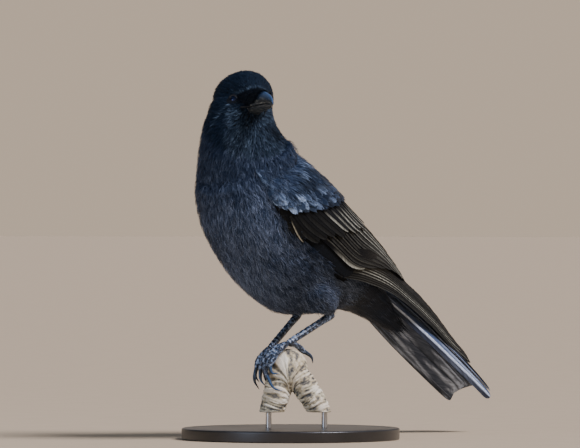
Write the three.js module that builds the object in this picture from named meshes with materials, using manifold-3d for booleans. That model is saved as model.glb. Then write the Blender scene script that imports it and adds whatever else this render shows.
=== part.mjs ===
// A life-size perched crow, as a still museum model, on a cut length of branch held by a plain display stand.
// Millimetres, +Z up. The crow's body faces -Y, so its left side is +X and its tail points to +Y.
// The origin is the centre of the stand base's underside.
import * as THREE from "three";
import { mergeVertices } from "three/addons/utils/BufferGeometryUtils.js";
import Module from "manifold-3d";

const wasm = await Module();
wasm.setup();

// ---------------------------------------------------------------- driving dimensions
const GAP = 0.3; // clearance between pieces that meet
const BASE = { radius: 95, thick: 10, chamfer: 1.5 };
const ROD = { radius: 2.5, deep: 9 }; // each rod goes this deep into the wood
const PERCH_TOP = 78; // height of the highest bark, under the feet
const SAWN_AT = 24; // height of the branch's two sawn ends
const FEET_FORWARD = 15; // the feet stand this far in front of the base's centre
const PERCH_TURN = 42.3; // degrees that the branch's own plane is turned from the crow's X axis
const KNOB = { along: 18.5, deep: 14, up: 18.5 }; // half sizes of the bend that the feet hold

const BODY_SLOPE = 33.5; // degrees that the back slopes down to the tail
const HEAD_TURN = 59.6; // degrees that the head is turned to the crow's left
const BILL_DROP = 4.2; // degrees that the bill points down
const EYE = { radius: 6.5, back: 3.5, apart: 13.2, down: 2.1 }; // the ball, and its centre in the head
const TAIL = { tip: 295, rise: 16 }; // how far aft of the trunk's middle, and above its long axis
const WING = {
  gap: 1.4, // air between the wing and the body
  rim: 1, // thickness at the edges
  thick: [0, 8, 9, 8, 7, 6, 5, 4, 3, 0], // what the middle adds, from the wrist to the last inner feather
  lower: [2, -14, -20, -20, -20, -19, -8, 4, 13, 40], // degrees round the body where each edge lies
  upper: [8, 62, 74, 79, 81, 82, 82, 81, 78, 50],
  fill: 3, // how far the rear half reaches in under its feathers
};
const TOE_RADII = [3, 2.6, 2.5, 2.3, 2.1];
const CLAW_RADII = [1.9, 1.5, 0.6];
const TARSUS_RADII = [4, 2.9, 2.8, 3.4];
const THIGH_RADII = [20, 13, 5.5];

const PLUMAGE = { colour: 0x14171d, roughness: 0.6 };
const HORN = { colour: 0x1c1e22, roughness: 0.35 };
const EYEBALL = { colour: 0x120d0a, roughness: 0.08 };
const SCUTES = { colour: 0x23272e, roughness: 0.45 };
const BARK = { colour: 0xb9a684, roughness: 0.85 };
const BOARD = { colour: 0x2a2a2c, roughness: 0.4 };
const STEEL = { colour: 0x9a9da1, roughness: 0.3, metalness: 1 };

// ---------------------------------------------------------------- places on the crow
const vec = (x, y, z) => new THREE.Vector3(x, y, z);
const rad = THREE.MathUtils.degToRad;
const LEFT = vec(1, 0, 0);
const UP = vec(0, 0, 1);
const FEET = vec(0, -FEET_FORWARD, PERCH_TOP);

// From the feet: to the left, back and up.
const fromFeet = (left, back, up) => vec(left, back, up).add(FEET);

// From the middle of the trunk: along the back towards the tail, up from the back, and to the left.
const TRUNK_MIDDLE = fromFeet(0, 6.5, 99.7);
const AFT = vec(0, Math.cos(rad(BODY_SLOPE)), -Math.sin(rad(BODY_SLOPE)));
const DORSAL = vec(0, Math.sin(rad(BODY_SLOPE)), Math.cos(rad(BODY_SLOPE)));
const onTrunk = (aft, dorsal, left = 0) =>
  TRUNK_MIDDLE.clone().addScaledVector(AFT, aft).addScaledVector(DORSAL, dorsal).addScaledVector(LEFT, left);

// From midway between the eyes: forward along the bill, to the head's left, and up.
const EYES_MIDDLE = fromFeet(18, -54, 218);
const turnedAbout = (axis, degrees) => new THREE.Quaternion().setFromAxisAngle(axis, rad(degrees));
const HEAD_POSE = turnedAbout(UP, HEAD_TURN).multiply(turnedAbout(LEFT, BILL_DROP));
const HEAD_LEFT = LEFT.clone().applyQuaternion(HEAD_POSE);
const inHead = (forward, left, up) => vec(left, -forward, up).applyQuaternion(HEAD_POSE).add(EYES_MIDDLE);

// From the middle of the feet: along the plane of the branch's arch, out of it, and up.
const PERCH_POSE = turnedAbout(UP, PERCH_TURN);
const onPerch = (along, out, up) => vec(along, -out, up).applyQuaternion(PERCH_POSE).add(FEET);

// ---------------------------------------------------------------- solids
const clamp01 = (t) => Math.min(1, Math.max(0, t));

// A smooth value through evenly spaced ones.
function smooth(values, t) {
  const last = values.length - 1;
  const at = clamp01(t) * last;
  const i = Math.min(Math.floor(at), last - 1);
  const [a, b, c, d] = [-1, 0, 1, 2].map((k) => values[Math.min(Math.max(i + k, 0), last)]);
  const u = at - i;
  return b + 0.5 * u * (c - a + u * (2 * a - 5 * b + 4 * c - d + u * (3 * (b - c) + d - a)));
}

function solid(geometry) {
  const bare = new THREE.BufferGeometry();
  bare.setAttribute("position", geometry.getAttribute("position"));
  bare.setIndex(geometry.index);
  const merged = mergeVertices(bare, 1e-4);
  return new wasm.Manifold(new wasm.Mesh({
    numProp: 3,
    vertProperties: new Float32Array(merged.attributes.position.array),
    triVerts: new Uint32Array(merged.index.array),
  }));
}

// The same, with its faces turned round if they point in.
function facingOut(geometry) {
  const made = solid(geometry);
  if (made.volume() > 0) return made;
  const index = geometry.index.array;
  for (let i = 0; i < index.length; i += 3) [index[i + 1], index[i + 2]] = [index[i + 2], index[i + 1]];
  return solid(geometry);
}

function geometryOf(manifold) {
  const mesh = manifold.getMesh();
  const corners = new Float32Array(mesh.numVert * 3);
  for (let i = 0; i < mesh.numVert; i++) {
    corners.set(mesh.vertProperties.subarray(i * mesh.numProp, i * mesh.numProp + 3), i * 3);
  }
  const geometry = new THREE.BufferGeometry();
  geometry.setAttribute("position", new THREE.BufferAttribute(corners, 3));
  geometry.setIndex(new THREE.BufferAttribute(new Uint32Array(mesh.triVerts), 1));
  return geometry;
}

// What is left of a solid once others are cut away, without the slivers that a cut can leave.
function cut(whole, ...others) {
  const left = others.reduce((rest, other) => rest.subtract(other), whole);
  return left.decompose().sort((a, b) => b.volume() - a.volume())[0];
}

// The part of a solid on the side that the normal points to, half a gap clear of the plane.
const beyond = (whole, normal, through) =>
  whole.trimByPlane(normal.toArray(), normal.dot(through) + GAP / 2);

// A closed round body: `at(t, turn)` is its surface, with t from end to end and turn round it.
function closed(at, along, around) {
  const sphere = new THREE.SphereGeometry(1, around, along);
  const { position, uv } = sphere.attributes;
  for (let i = 0; i < position.count; i++) {
    const t = clamp01(1 - uv.getY(i));
    const pole = t < 1e-6 || t > 1 - 1e-6;
    const step = pole ? 0 : Math.round(uv.getX(i) * around) % around;
    position.setXYZ(i, ...at(t, (step * 2 * Math.PI) / around).toArray());
  }
  return facingOut(sphere);
}

// The surface round a spine of stations: [centre, half width, reach up, reach down]. Widths lie along `side`.
function surface(stations, side) {
  const curve = new THREE.CatmullRomCurve3(stations.map((station) => station[0]), false, "centripetal");
  return (t, turn, grow = 0) => {
    const ahead = curve.getTangent(Math.min(Math.max(t, 0.002), 0.998));
    const across = side.clone().addScaledVector(ahead, -side.dot(ahead)).normalize();
    const up = across.clone().cross(ahead).normalize();
    const [half, above, below] = [1, 2, 3].map((k) => smooth(stations.map((station) => station[k]), t));
    const [c, s] = [Math.cos(turn), Math.sin(turn)];
    const end = t <= 0 ? -1 : t >= 1 ? 1 : 0;
    return curve.getPoint(t)
      .addScaledVector(across, end ? 0 : (half + grow) * c)
      .addScaledVector(up, end ? 0 : ((s > 0 ? above : below) + grow) * s)
      .addScaledVector(ahead, end * grow);
  };
}

// Each maker below takes the clearance to grow its solid by, so that a neighbour can be cut to fit it.
const loft = (stations, side, along, around) => (grow = 0) => {
  const at = surface(stations, side);
  return closed((t, turn) => at(t, turn, grow), along, around);
};

// A round limb through points, with a radius at each, closed by round ends.
function limb(points, radii, along, around) {
  const last = points.length - 1;
  const nearEnd = (end, next) =>
    points[end].clone().lerp(points[next], (0.35 * radii[end]) / points[end].distanceTo(points[next]));
  const places = [points[0], nearEnd(0, 1), ...points.slice(1, last), nearEnd(last, last - 1), points[last]];
  const sizes = [0, 0.75 * radii[0], ...radii.slice(1, last), 0.75 * radii[last], 0];
  const stations = places.map((place, i) => [place, sizes[i], sizes[i], sizes[i]]);
  return loft(stations, vec(0.31, 0.17, 0.94), along, around);
}

const ball = (centre, radii, pose, around) => (grow = 0) => {
  const sphere = new THREE.SphereGeometry(1, around, Math.round(around * 0.6));
  sphere.scale(...radii.map((r) => r + grow));
  sphere.applyQuaternion(pose);
  sphere.translate(...centre.toArray());
  return solid(sphere);
};

function post(radius, low, high, at) {
  const cylinder = new THREE.CylinderGeometry(radius, radius, high - low, 16);
  cylinder.rotateX(Math.PI / 2);
  cylinder.translate(at.x, at.y, (low + high) / 2);
  return solid(cylinder);
}

const group = new THREE.Group();
function node(name, manifold, { colour, roughness, metalness = 0 }) {
  const mesh = new THREE.Mesh(
    geometryOf(manifold),
    new THREE.MeshStandardMaterial({ color: colour, roughness, metalness }),
  );
  mesh.name = name;
  group.add(mesh);
}

// ---------------------------------------------------------------- head, neck and trunk
const headShape = loft([
  [inHead(17, 0, 0), 0, 0, 0],
  [inHead(13, 0, -0.5), 8.5, 9.5, 9],
  [inHead(6, 0, -0.5), 13, 15.5, 13.5],
  [inHead(-2, 0, -0.5), 17.8, 20.5, 18],
  [inHead(-12, 0.4, -0.5), 23, 23.9, 23],
  [inHead(-24, 0.4, -1.6), 26.2, 24.2, 28],
  [inHead(-36, 0.4, -5), 25.4, 22, 29],
  [inHead(-47, 0.4, -11), 18, 15, 24],
  [inHead(-54, 0.4, -17), 0, 0, 0],
], HEAD_LEFT, 18, 22);

const neckShape = loft([
  [fromFeet(-1, -44, 230), 0, 0, 0],
  [fromFeet(-1, -45, 216), 24, 24, 24],
  [fromFeet(-0.5, -49, 198), 31, 31.5, 31.5],
  [fromFeet(0, -48, 182), 37, 34, 38.5],
  [fromFeet(0, -41, 166), 45, 35, 48.5],
  [fromFeet(0, -28, 146), 46, 32, 51],
  [fromFeet(0, -14, 126), 40, 28, 40],
  [fromFeet(0, 0, 108), 0, 0, 0],
], LEFT, 18, 24);

const trunkShape = loft([
  [onTrunk(-114, 13), 0, 0, 0],
  [onTrunk(-104, 11), 24, 21, 16.5],
  [onTrunk(-84, 5), 37, 38, 33],
  [onTrunk(-60, 0), 45, 49, 46],
  [onTrunk(-30, -3), 49.5, 54, 53.5],
  [onTrunk(0, -4), 51, 56, 57],
  [onTrunk(30, -4), 48, 54, 53],
  [onTrunk(62, 2), 39, 45, 37],
  [onTrunk(92, 10), 29, 28, 23],
  [onTrunk(120, 14), 20, 15, 16],
  [onTrunk(144, 15), 13, 6, 7],
  [onTrunk(160, 14), 0, 0, 0],
], LEFT, 26, 28);

// Head, neck and trunk are one shape, parted by two thin flat cuts: under the jaw, and over the shoulders.
const JAW_CUT = { up: vec(0.05, 0.12, 1).normalize(), through: fromFeet(0, -49, 199) };
const SHOULDER_CUT = { up: vec(0, -0.5, 0.87).normalize(), through: fromFeet(0, -46, 163) };
const above = (whole, { up, through }) => beyond(whole, up, through);
const below = (whole, { up, through }) => beyond(whole, up.clone().negate(), through);

const eyeball = (side) =>
  ball(inHead(-EYE.back, side * EYE.apart, -EYE.down), Array(3).fill(EYE.radius), HEAD_POSE, 14);
const headAndNeck = headShape().add(neckShape());
const neckAndTrunk = neckShape().add(trunkShape());

node("head", cut(above(headAndNeck, JAW_CUT), eyeball(1)(GAP), eyeball(-1)(GAP)), PLUMAGE);
node("neck", cut(above(below(headAndNeck, JAW_CUT), SHOULDER_CUT)), PLUMAGE);
node("trunk", cut(below(neckAndTrunk, SHOULDER_CUT)), PLUMAGE);
node("eye_left", eyeball(1)(), EYEBALL);
node("eye_right", eyeball(-1)(), EYEBALL);

// ---------------------------------------------------------------- bill
const upperBill = loft([
  [inHead(6, 0, -7.2), 0, 0, 0],
  [inHead(10, 0, -7), 7.8, 14.8, 0.5],
  [inHead(20, 0, -6.1), 7, 14.2, 0.4],
  [inHead(31, 0, -4.4), 5.7, 12.1, 0.4],
  [inHead(42, 0, -2.7), 4.3, 9.7, 0.5],
  [inHead(52, 0, -1.5), 3, 6.8, 0.7],
  [inHead(59, 0, -1), 1.6, 3.4, 0.9],
  [inHead(62, 0, -1.6), 0, 0, 0],
], HEAD_LEFT.clone().negate(), 14, 14);

const lowerBill = loft([
  [inHead(6, 0, -8.2), 0, 0, 0],
  [inHead(10, 0, -8), 7.4, 0.4, 5.8],
  [inHead(20, 0, -7), 6.6, 0.4, 4.9],
  [inHead(31, 0, -5.3), 5.2, 0.4, 4.4],
  [inHead(42, 0, -3.6), 3.8, 0.4, 4.5],
  [inHead(52, 0, -2.6), 2.4, 0.3, 3.5],
  [inHead(57, 0, -2.5), 0, 0, 0],
], HEAD_LEFT.clone().negate(), 12, 12);

node("bill_upper", cut(upperBill(), headShape(GAP)), HORN);
node("bill_lower", cut(lowerBill(), headShape(GAP), neckShape(GAP)), HORN);

// ---------------------------------------------------------------- tail and wings
// The closed tail is arched like a roof: its edges lie low, and its underside is hollow.
const tailShape = loft([
  [onTrunk(104, 24), 0, 0, 0],
  [onTrunk(112, TAIL.rise), 15, 16, -6],
  [onTrunk(140, TAIL.rise), 20, 21, -14],
  [onTrunk(185, TAIL.rise), 23.5, 22.5, -16],
  [onTrunk(230, TAIL.rise), 25, 21, -15.5],
  [onTrunk(272, TAIL.rise), 26, 17.5, -13],
  [onTrunk(288, TAIL.rise), 22, 15.5, -11.5],
  [onTrunk(TAIL.tip, TAIL.rise + 10), 0, 0, 0],
], LEFT, 18, 16);
node("tail", cut(tailShape(), trunkShape(GAP)), PLUMAGE);

// The bed is the round shape that a closed wing lies on: the flank, then the air over rump and tail.
const wingBed = surface([
  [onTrunk(-92, 4), 33, 39, 35],
  [onTrunk(-60, 0), 45, 50, 47],
  [onTrunk(-30, -3), 50, 55, 54],
  [onTrunk(0, -4), 52, 56.5, 57],
  [onTrunk(30, -4), 50.5, 55, 54],
  [onTrunk(60, 0), 47, 50.5, 43],
  [onTrunk(90, 6), 41, 43.5, 33],
  [onTrunk(120, 12), 34, 35, 25],
  [onTrunk(150, 17), 27, 27, 20],
], LEFT);

// The arm, its coverts and the inner flight feathers, wrapped round the bed.
const wingShape = (grow = 0) => closed((t, turn) => {
  const lower = rad(smooth(WING.lower, t));
  const upper = rad(smooth(WING.upper, t));
  const [c, s] = [Math.cos(turn), Math.sin(turn)];
  const outer = s > 0.01 ? WING.rim + smooth(WING.thick, t) * s + grow : 0;
  const inner = s < -0.01 ? WING.fill * clamp01(2 * t - 1) + grow : 0;
  const angle = (lower + upper) / 2 + ((upper - lower) / 2 + rad(grow)) * c;
  return wingBed(t, angle, WING.gap + outer - inner);
}, 20, 14);

// The long outer flight feathers, stacked in one blade that ends over the tail.
const primariesSide = LEFT.clone().multiplyScalar(0.5).addScaledVector(DORSAL, -0.87);
const primariesShape = loft([
  [onTrunk(96, 24, 33), 0, 0, 0],
  [onTrunk(110, 28, 31), 12, 2, 2],
  [onTrunk(145, 34, 25), 13.5, 2, 2],
  [onTrunk(187, 36.5, 20), 11, 1.8, 1.8],
  [onTrunk(220, 35.5, 17), 9, 1.4, 1.4],
  [onTrunk(246, 34.5, 14), 6, 1, 1],
  [onTrunk(258, 34.5, 12.5), 0, 0, 0],
], primariesSide, 16, 10);

const wing = cut(wingShape(), neckShape(GAP), trunkShape(GAP), tailShape(GAP));
const primaries = cut(primariesShape(), wingShape(GAP), trunkShape(GAP), tailShape(GAP));
node("wing_left", wing, PLUMAGE);
node("wing_right", wing.mirror([1, 0, 0]), PLUMAGE);
node("primaries_left", primaries, PLUMAGE);
node("primaries_right", primaries.mirror([1, 0, 0]), PLUMAGE);

// ---------------------------------------------------------------- branch
const knob = ball(onPerch(6.5, 0, -17), [KNOB.along, KNOB.deep, KNOB.up], PERCH_POSE, 16);
const stem = limb([onPerch(42, 0, -66), onPerch(33, 0, -49), onPerch(23, 0, -33), onPerch(13, 0, -17)],
  [10.3, 10.3, 11, 13], 10, 14);
const hook = limb([onPerch(-12, 0, -66), onPerch(-6, 0, -52), onPerch(-1.5, 0, -36), onPerch(1, 0, -18)],
  [11, 11, 12, 13], 10, 14);
const STEM_ROD = onPerch(39.5, 0, 0);
const HOOK_ROD = onPerch(-9, 0, 0);
const SAW_CUT = { up: UP, through: vec(0, 0, SAWN_AT - GAP / 2) };
const drilled = (at) => post(ROD.radius + GAP, SAWN_AT - ROD.deep, SAWN_AT + ROD.deep, at);

node("perch_knob", knob(), BARK);
node("perch_stem", cut(above(stem(), SAW_CUT), knob(GAP), drilled(STEM_ROD)), BARK);
node("perch_hook", cut(above(hook(), SAW_CUT), knob(GAP), stem(GAP), drilled(HOOK_ROD)), BARK);

// ---------------------------------------------------------------- legs and feet
// Each toe: the points that it passes through from the foot's joint on, then those of its claw.
const LEGS = {
  left: {
    side: 1,
    joint: onPerch(7.8, 7.1, 6),
    toes: {
      inner: {
        pads: [[0, 6, 3], [-8, 6, -3], [-15, 5, -12], [-16.5, 5, -19]],
        claw: [[-16, 5, -25], [-12, 6, -31]],
      },
      middle: {
        pads: [[1, 11, 2], [-7, 12, -6], [-12, 13, -16], [-9, 14, -25]],
        claw: [[-5, 14.5, -32], [3, 14, -35]],
      },
      outer: {
        pads: [[3, 13, 3], [-2, 15.5, -3], [-7, 16.5, -11], [-8.5, 16, -15]],
        claw: [[-6, 16, -19.5], [0, 16, -20]],
      },
      hind: { pads: [[12, 2, 5.5], [18, -6, 2], [23, -12, -3]], claw: [[28, -14, -6], [29.5, -14, -12]] },
    },
  },
  right: {
    side: -1,
    joint: onPerch(-7.8, -7.1, 1.5),
    toes: {
      inner: { pads: [[-11, -4, -1], [-17, -3, -8], [-20, -1, -16]], claw: [[-20.5, 1, -22], [-17, 2, -28]] },
      middle: {
        pads: [[-12, -9, -2], [-18, -9, -9], [-20, -8, -18]],
        claw: [[-21.5, -7, -26], [-17, -6, -34.5]],
      },
      outer: {
        pads: [[-11, -14, -3], [-14, -17, -11], [-13, -17, -20]],
        claw: [[-11, -17.5, -27], [-6, -16, -31]],
      },
      hind: { pads: [[-4, -13, 1], [3, -18, -3], [7, -19.5, -10]], claw: [[9, -19.5, -17], [8, -17.5, -22]] },
    },
  },
};

for (const [name, { side, joint, toes }] of Object.entries(LEGS)) {
  const knee = fromFeet(side * 29, 4, 62);
  const ankle = fromFeet(side * 20, 48, 31);
  const shin = knee.clone().lerp(ankle, 0.55);
  const thigh = limb([knee, shin, ankle.clone().add(vec(0, -2, 2))], THIGH_RADII, 12, 14);
  const tarsus = limb([ankle, ankle.clone().lerp(joint, 0.3), ankle.clone().lerp(joint, 0.7), joint],
    TARSUS_RADII, 12, 10);
  const standing = [knob(GAP), stem(GAP), hook(GAP)];
  node(`thigh_${name}`, cut(thigh(), trunkShape(GAP), tarsus(GAP)), PLUMAGE);
  node(`tarsus_${name}`, cut(tarsus(), ...standing), SCUTES);
  const around = [tarsus(GAP), ...standing];
  for (const [toeName, plan] of Object.entries(toes)) {
    const toePoints = [joint, ...plan.pads.map((point) => onPerch(...point))];
    const clawPoints = [toePoints.at(-1), ...plan.claw.map((point) => onPerch(...point))];
    const toe = limb(toePoints, TOE_RADII.slice(0, toePoints.length), 10, 7);
    const claw = limb(clawPoints, CLAW_RADII, 7, 6);
    node(`toe_${name}_${toeName}`, cut(toe(), ...around), SCUTES);
    node(`claw_${name}_${toeName}`, cut(claw(), toe(GAP), ...around), HORN);
    around.push(toe(GAP), claw(GAP));
  }
}

// ---------------------------------------------------------------- stand
const baseProfile = [
  [0, 0],
  [BASE.radius, 0],
  [BASE.radius, BASE.thick - BASE.chamfer],
  [BASE.radius - BASE.chamfer, BASE.thick],
  [0, BASE.thick],
].map(([r, z]) => new THREE.Vector2(r, z));
const disc = new THREE.LatheGeometry(baseProfile, 64);
disc.rotateX(Math.PI / 2);
node("stand_base", facingOut(disc), BOARD);
node("stand_rod_1", post(ROD.radius, BASE.thick + GAP, SAWN_AT + ROD.deep - GAP, STEM_ROD), STEEL);
node("stand_rod_2", post(ROD.radius, BASE.thick + GAP, SAWN_AT + ROD.deep - GAP, HOOK_ROD), STEEL);

export default group;
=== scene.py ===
import math

import bpy
import numpy as np
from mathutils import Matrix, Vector
from mathutils.bvhtree import BVHTree


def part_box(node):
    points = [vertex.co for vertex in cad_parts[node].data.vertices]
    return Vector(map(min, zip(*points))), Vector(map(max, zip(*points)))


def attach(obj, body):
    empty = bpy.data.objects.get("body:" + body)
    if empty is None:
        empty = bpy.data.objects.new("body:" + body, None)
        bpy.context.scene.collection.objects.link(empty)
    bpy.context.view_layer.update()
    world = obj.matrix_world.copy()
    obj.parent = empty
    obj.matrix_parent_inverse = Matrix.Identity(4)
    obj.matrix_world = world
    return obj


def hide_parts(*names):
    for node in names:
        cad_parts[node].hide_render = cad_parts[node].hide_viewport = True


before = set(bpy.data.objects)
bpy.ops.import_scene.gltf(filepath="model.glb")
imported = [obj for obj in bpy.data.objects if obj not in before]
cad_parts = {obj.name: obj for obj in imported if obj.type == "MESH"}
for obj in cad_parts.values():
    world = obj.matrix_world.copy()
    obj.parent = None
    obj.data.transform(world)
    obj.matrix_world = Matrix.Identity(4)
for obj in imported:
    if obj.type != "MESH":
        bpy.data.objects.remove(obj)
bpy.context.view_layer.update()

MM = 0.001
UNWRAP_PATCH = 0.003  # how wide one small feather is on the unwrap
PIECE_LIMIT = 190000  # triangles in one piece of the coat
ROOTS_TRIED = 170000  # random places on the skin, of which the feathers' roots are thinned out
WISPS = 20000
WISP_TRIANGLES = 10
BRISTLES = 900
draw = np.random.default_rng(21)


# ---------------------------------------------------------------- sums with points
def vec(*values):
    return np.array(values, float)


def unit(vectors):
    return vectors / np.maximum(np.linalg.norm(vectors, axis=-1, keepdims=True), 1e-9)


def dot(a, b):
    return np.sum(a * b, axis=-1, keepdims=True)


def pairs(a, b):
    """Two arrays as one list of pairs."""
    return np.stack(np.broadcast_arrays(a, b), axis=-1).reshape(-1, 2)


def rings(values, around):
    """Two grids: each value in its own row, and even turns round a circle along each row."""
    return np.meshgrid(values, np.linspace(0, 2 * math.pi, around, endpoint=False), indexing="ij")


def peak(value, centre, spread):
    """1 at the centre, falling away over the spread on both sides."""
    return np.exp(-((value - centre) / spread) ** 2)


def weights_along(points, line, spread):
    """How much each point belongs to each point of a line, most to the nearest."""
    apart = np.sum((points[:, None] - line) ** 2, axis=2)
    weight = np.exp(-(apart - apart.min(axis=1, keepdims=True)) / (2 * spread ** 2))
    return weight / weight.sum(axis=1, keepdims=True)


def length_along(line):
    """How far along a line each of its points is."""
    return np.concatenate([[0], np.cumsum(np.linalg.norm(np.diff(line, axis=0), axis=1))])


def on_left(points):
    """The points with those on the right mirrored to the left."""
    return np.concatenate([np.abs(points[:, :1]), points[:, 1:]], axis=1)


def ease(value, start, end):
    """0 before start, 1 after end, and a smooth step between them."""
    t = np.clip((value - start) / (end - start), 0, 1)
    return t * t * (3 - 2 * t)


def smooth(values, t):
    """A smooth value through evenly spaced ones, at t from 0 to 1."""
    values = np.asarray(values, float)
    last = len(values) - 1
    at = np.clip(t, 0, 1) * last
    i = np.minimum(np.floor(at).astype(int), last - 1)
    u = at - i
    if values.ndim > 1:
        u = u[..., None]
    a, b, c, d = [values[np.clip(i + k, 0, last)] for k in (-1, 0, 1, 2)]
    return b + 0.5 * u * (c - a + u * (2 * a - 5 * b + 4 * c - d + u * (3 * (b - c) + d - a)))


def step_along(line, t):
    """The way that a line of evenly spaced points runs at t, not scaled to 1."""
    return smooth(line, np.minimum(t + 0.01, 1)) - smooth(line, np.maximum(t - 0.01, 0))


def middle(node):
    low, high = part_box(node)
    return (np.array(low) + np.array(high)) / 2 / MM


# ---------------------------------------------------------------- places on the crow
LEFT, UP = vec(1, 0, 0), vec(0, 0, 1)

# The trunk: along the back to the tail, up from the back, and to the left.
BODY_SLOPE = math.radians(33.5)
AFT = vec(0, math.cos(BODY_SLOPE), -math.sin(BODY_SLOPE))
DORSAL = vec(0, math.sin(BODY_SLOPE), math.cos(BODY_SLOPE))
PERCH_TURN = math.radians(42.3)
ALONG = vec(math.cos(PERCH_TURN), math.sin(PERCH_TURN), 0)
OUT = vec(math.sin(PERCH_TURN), -math.cos(PERCH_TURN), 0)
KNOB = middle("perch_knob")
FEET = KNOB - 6.5 * ALONG + 17 * UP
TRUNK_MIDDLE = FEET + vec(0, 6.5, 99.7)


def from_feet(left, back, up):
    return FEET + vec(left, back, up)


def on_perch(along, out, up):
    return FEET + along * ALONG + out * OUT + up * UP


def on_trunk(aft, dorsal, left=0.0):
    parts = np.broadcast_arrays(aft, dorsal, left)
    aft, dorsal, left = [np.asarray(part, float)[..., None] for part in parts]
    return TRUNK_MIDDLE + aft * AFT + dorsal * DORSAL + left * LEFT


# The head: forward along the bill, to its left, and up. It is fixed by the two eyes.
BILL_DROP = math.radians(4.2)
HEAD_LEFT = unit(middle("eye_left") - middle("eye_right"))
HEAD_LEVEL = np.cross(HEAD_LEFT, UP)
HEAD_FORWARD = HEAD_LEVEL * math.cos(BILL_DROP) - UP * math.sin(BILL_DROP)
HEAD_UP = np.cross(HEAD_FORWARD, HEAD_LEFT)
EYE_AT = {"left": middle("eye_left"), "right": middle("eye_right")}
EYES_MIDDLE = (EYE_AT["left"] + EYE_AT["right"]) / 2 + 3.5 * HEAD_FORWARD + 2.1 * HEAD_UP
EYE_LOOK = {name: unit(HEAD_LEFT * side * 0.80 + HEAD_FORWARD * 0.59 + HEAD_UP * 0.04)
            for name, side in (("left", 1), ("right", -1))}


def in_head(forward, left, up):
    parts = np.broadcast_arrays(forward, left, up)
    forward, left, up = [np.asarray(part, float)[..., None] for part in parts]
    return EYES_MIDDLE + forward * HEAD_FORWARD + left * HEAD_LEFT + up * HEAD_UP


# The line down the middle of the body from the head to the tail, which the plumage follows.
BILL_ROOT = in_head(10, 0, -2)
SPINE_START = 24.0  # how far behind the root of the bill the line starts
SPINE = smooth([
    in_head(-14, 0, 0), in_head(-23, 0, -6),
    from_feet(-1, -45, 208), from_feet(-0.5, -49, 194), from_feet(0, -48, 180), from_feet(0, -41, 164),
    from_feet(0, -28, 146), on_trunk(-32, -3), on_trunk(0, -4), on_trunk(32, -3), on_trunk(64, 3),
    on_trunk(96, 10), on_trunk(128, 15), on_trunk(165, 16),
], np.linspace(0, 1, 150))
SPINE_WAY = unit(np.gradient(SPINE, axis=0))
SPINE_REACH = SPINE_START + length_along(SPINE)
SPINE_SPREAD = 9.0


def carried_up():
    """The way to the back of the body at each point of the spine, carried along it without twisting."""
    ways = [DORSAL]
    for way in SPINE_WAY[::-1][1:]:
        ways.append(unit(ways[-1] - way * dot(ways[-1], way)))
    return np.array(ways[::-1])


SPINE_UP = carried_up()
SPINE_SIDE = np.cross(SPINE_WAY, SPINE_UP)


def place_on_body(points):
    """How far along the spine each point is, its turn from the back, and the way that feathers lie."""
    reach, turn, way = [], [], []
    for some in np.array_split(points, max(1, len(points) // 4000)):
        weight = weights_along(some, SPINE, SPINE_SPREAD)
        arm = some - weight @ SPINE
        side = np.sum(arm * (weight @ SPINE_SIDE), axis=1)
        back = np.sum(arm * (weight @ SPINE_UP), axis=1)
        reach.append(weight @ SPINE_REACH)
        turn.append(np.arctan2(side, back))
        way.append(unit(weight @ SPINE_WAY))
    return np.concatenate(reach), np.concatenate(turn), np.concatenate(way)


def lie_of_coat(points, normals):
    """Reach, turn and the way feathers lie: away from the bill over the head, then along the spine."""
    reach, turn, way = place_on_body(points)
    arm = points - BILL_ROOT
    apart = np.linalg.norm(arm, axis=1)
    on_head = 1 - ease(apart, 34, 80)
    way = unit(way - normals * dot(way, normals)) * (1 - on_head)[:, None]
    way = way + unit(arm - normals * dot(arm, normals)) * on_head[:, None]
    return reach * (1 - on_head) + (apart - 6) * on_head, turn, unit(way)


# ---------------------------------------------------------------- meshes
def add_mesh(name, points, faces, material, layers=None, replaced=()):
    """A piece from points in mm and lists of faces of 3 or 4 corners. Each layer is a UV for every point."""
    mesh = bpy.data.meshes.new(name)
    faces = [np.asarray(some) for some in faces if len(some)]
    corners = np.concatenate([some.ravel() for some in faces]).astype(np.int32)
    counts = np.concatenate([np.full(len(some), some.shape[1]) for some in faces])
    starts = np.concatenate([[0], np.cumsum(counts)[:-1]]).astype(np.int32)
    mesh.vertices.add(len(points))
    mesh.vertices.foreach_set("co", (np.asarray(points) * MM).astype(np.float32).ravel())
    mesh.loops.add(len(corners))
    mesh.loops.foreach_set("vertex_index", corners)
    mesh.polygons.add(len(starts))
    mesh.polygons.foreach_set("loop_start", starts)
    mesh.update(calc_edges=True)
    mesh.polygons.foreach_set("use_smooth", np.ones(len(starts), bool))
    for layer, values in (layers or {}).items():
        uv = mesh.uv_layers.new(name=layer, do_init=False)
        uv.data.foreach_set("uv", np.asarray(values, np.float32)[corners].ravel())
    mesh.materials.append(material)
    piece = bpy.data.objects.new(name, mesh)
    bpy.context.scene.collection.objects.link(piece)
    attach(piece, "root")
    if replaced:
        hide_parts(*replaced)
    return piece


def grid(rows, columns, around=False):
    """The four-cornered faces of a grid of points, closed round its columns or open."""
    across = columns if around else columns - 1
    row, column = np.meshgrid(np.arange(rows - 1), np.arange(across), indexing="ij")
    after = (column + 1) % columns
    return np.stack([row * columns + column, row * columns + after,
                     (row + 1) * columns + after, (row + 1) * columns + column], axis=-1).reshape(-1, 4)


def end_fans(rows, columns):
    """Faces that close a grid's two ends onto two points that follow the grid's own."""
    here = np.arange(columns)
    after = (here + 1) % columns
    first, last = rows * columns, rows * columns + 1
    base = (rows - 1) * columns
    return np.concatenate([
        np.stack([after, here, np.full(columns, first)], axis=1),
        np.stack([base + here, base + after, np.full(columns, last)], axis=1),
    ])


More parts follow.
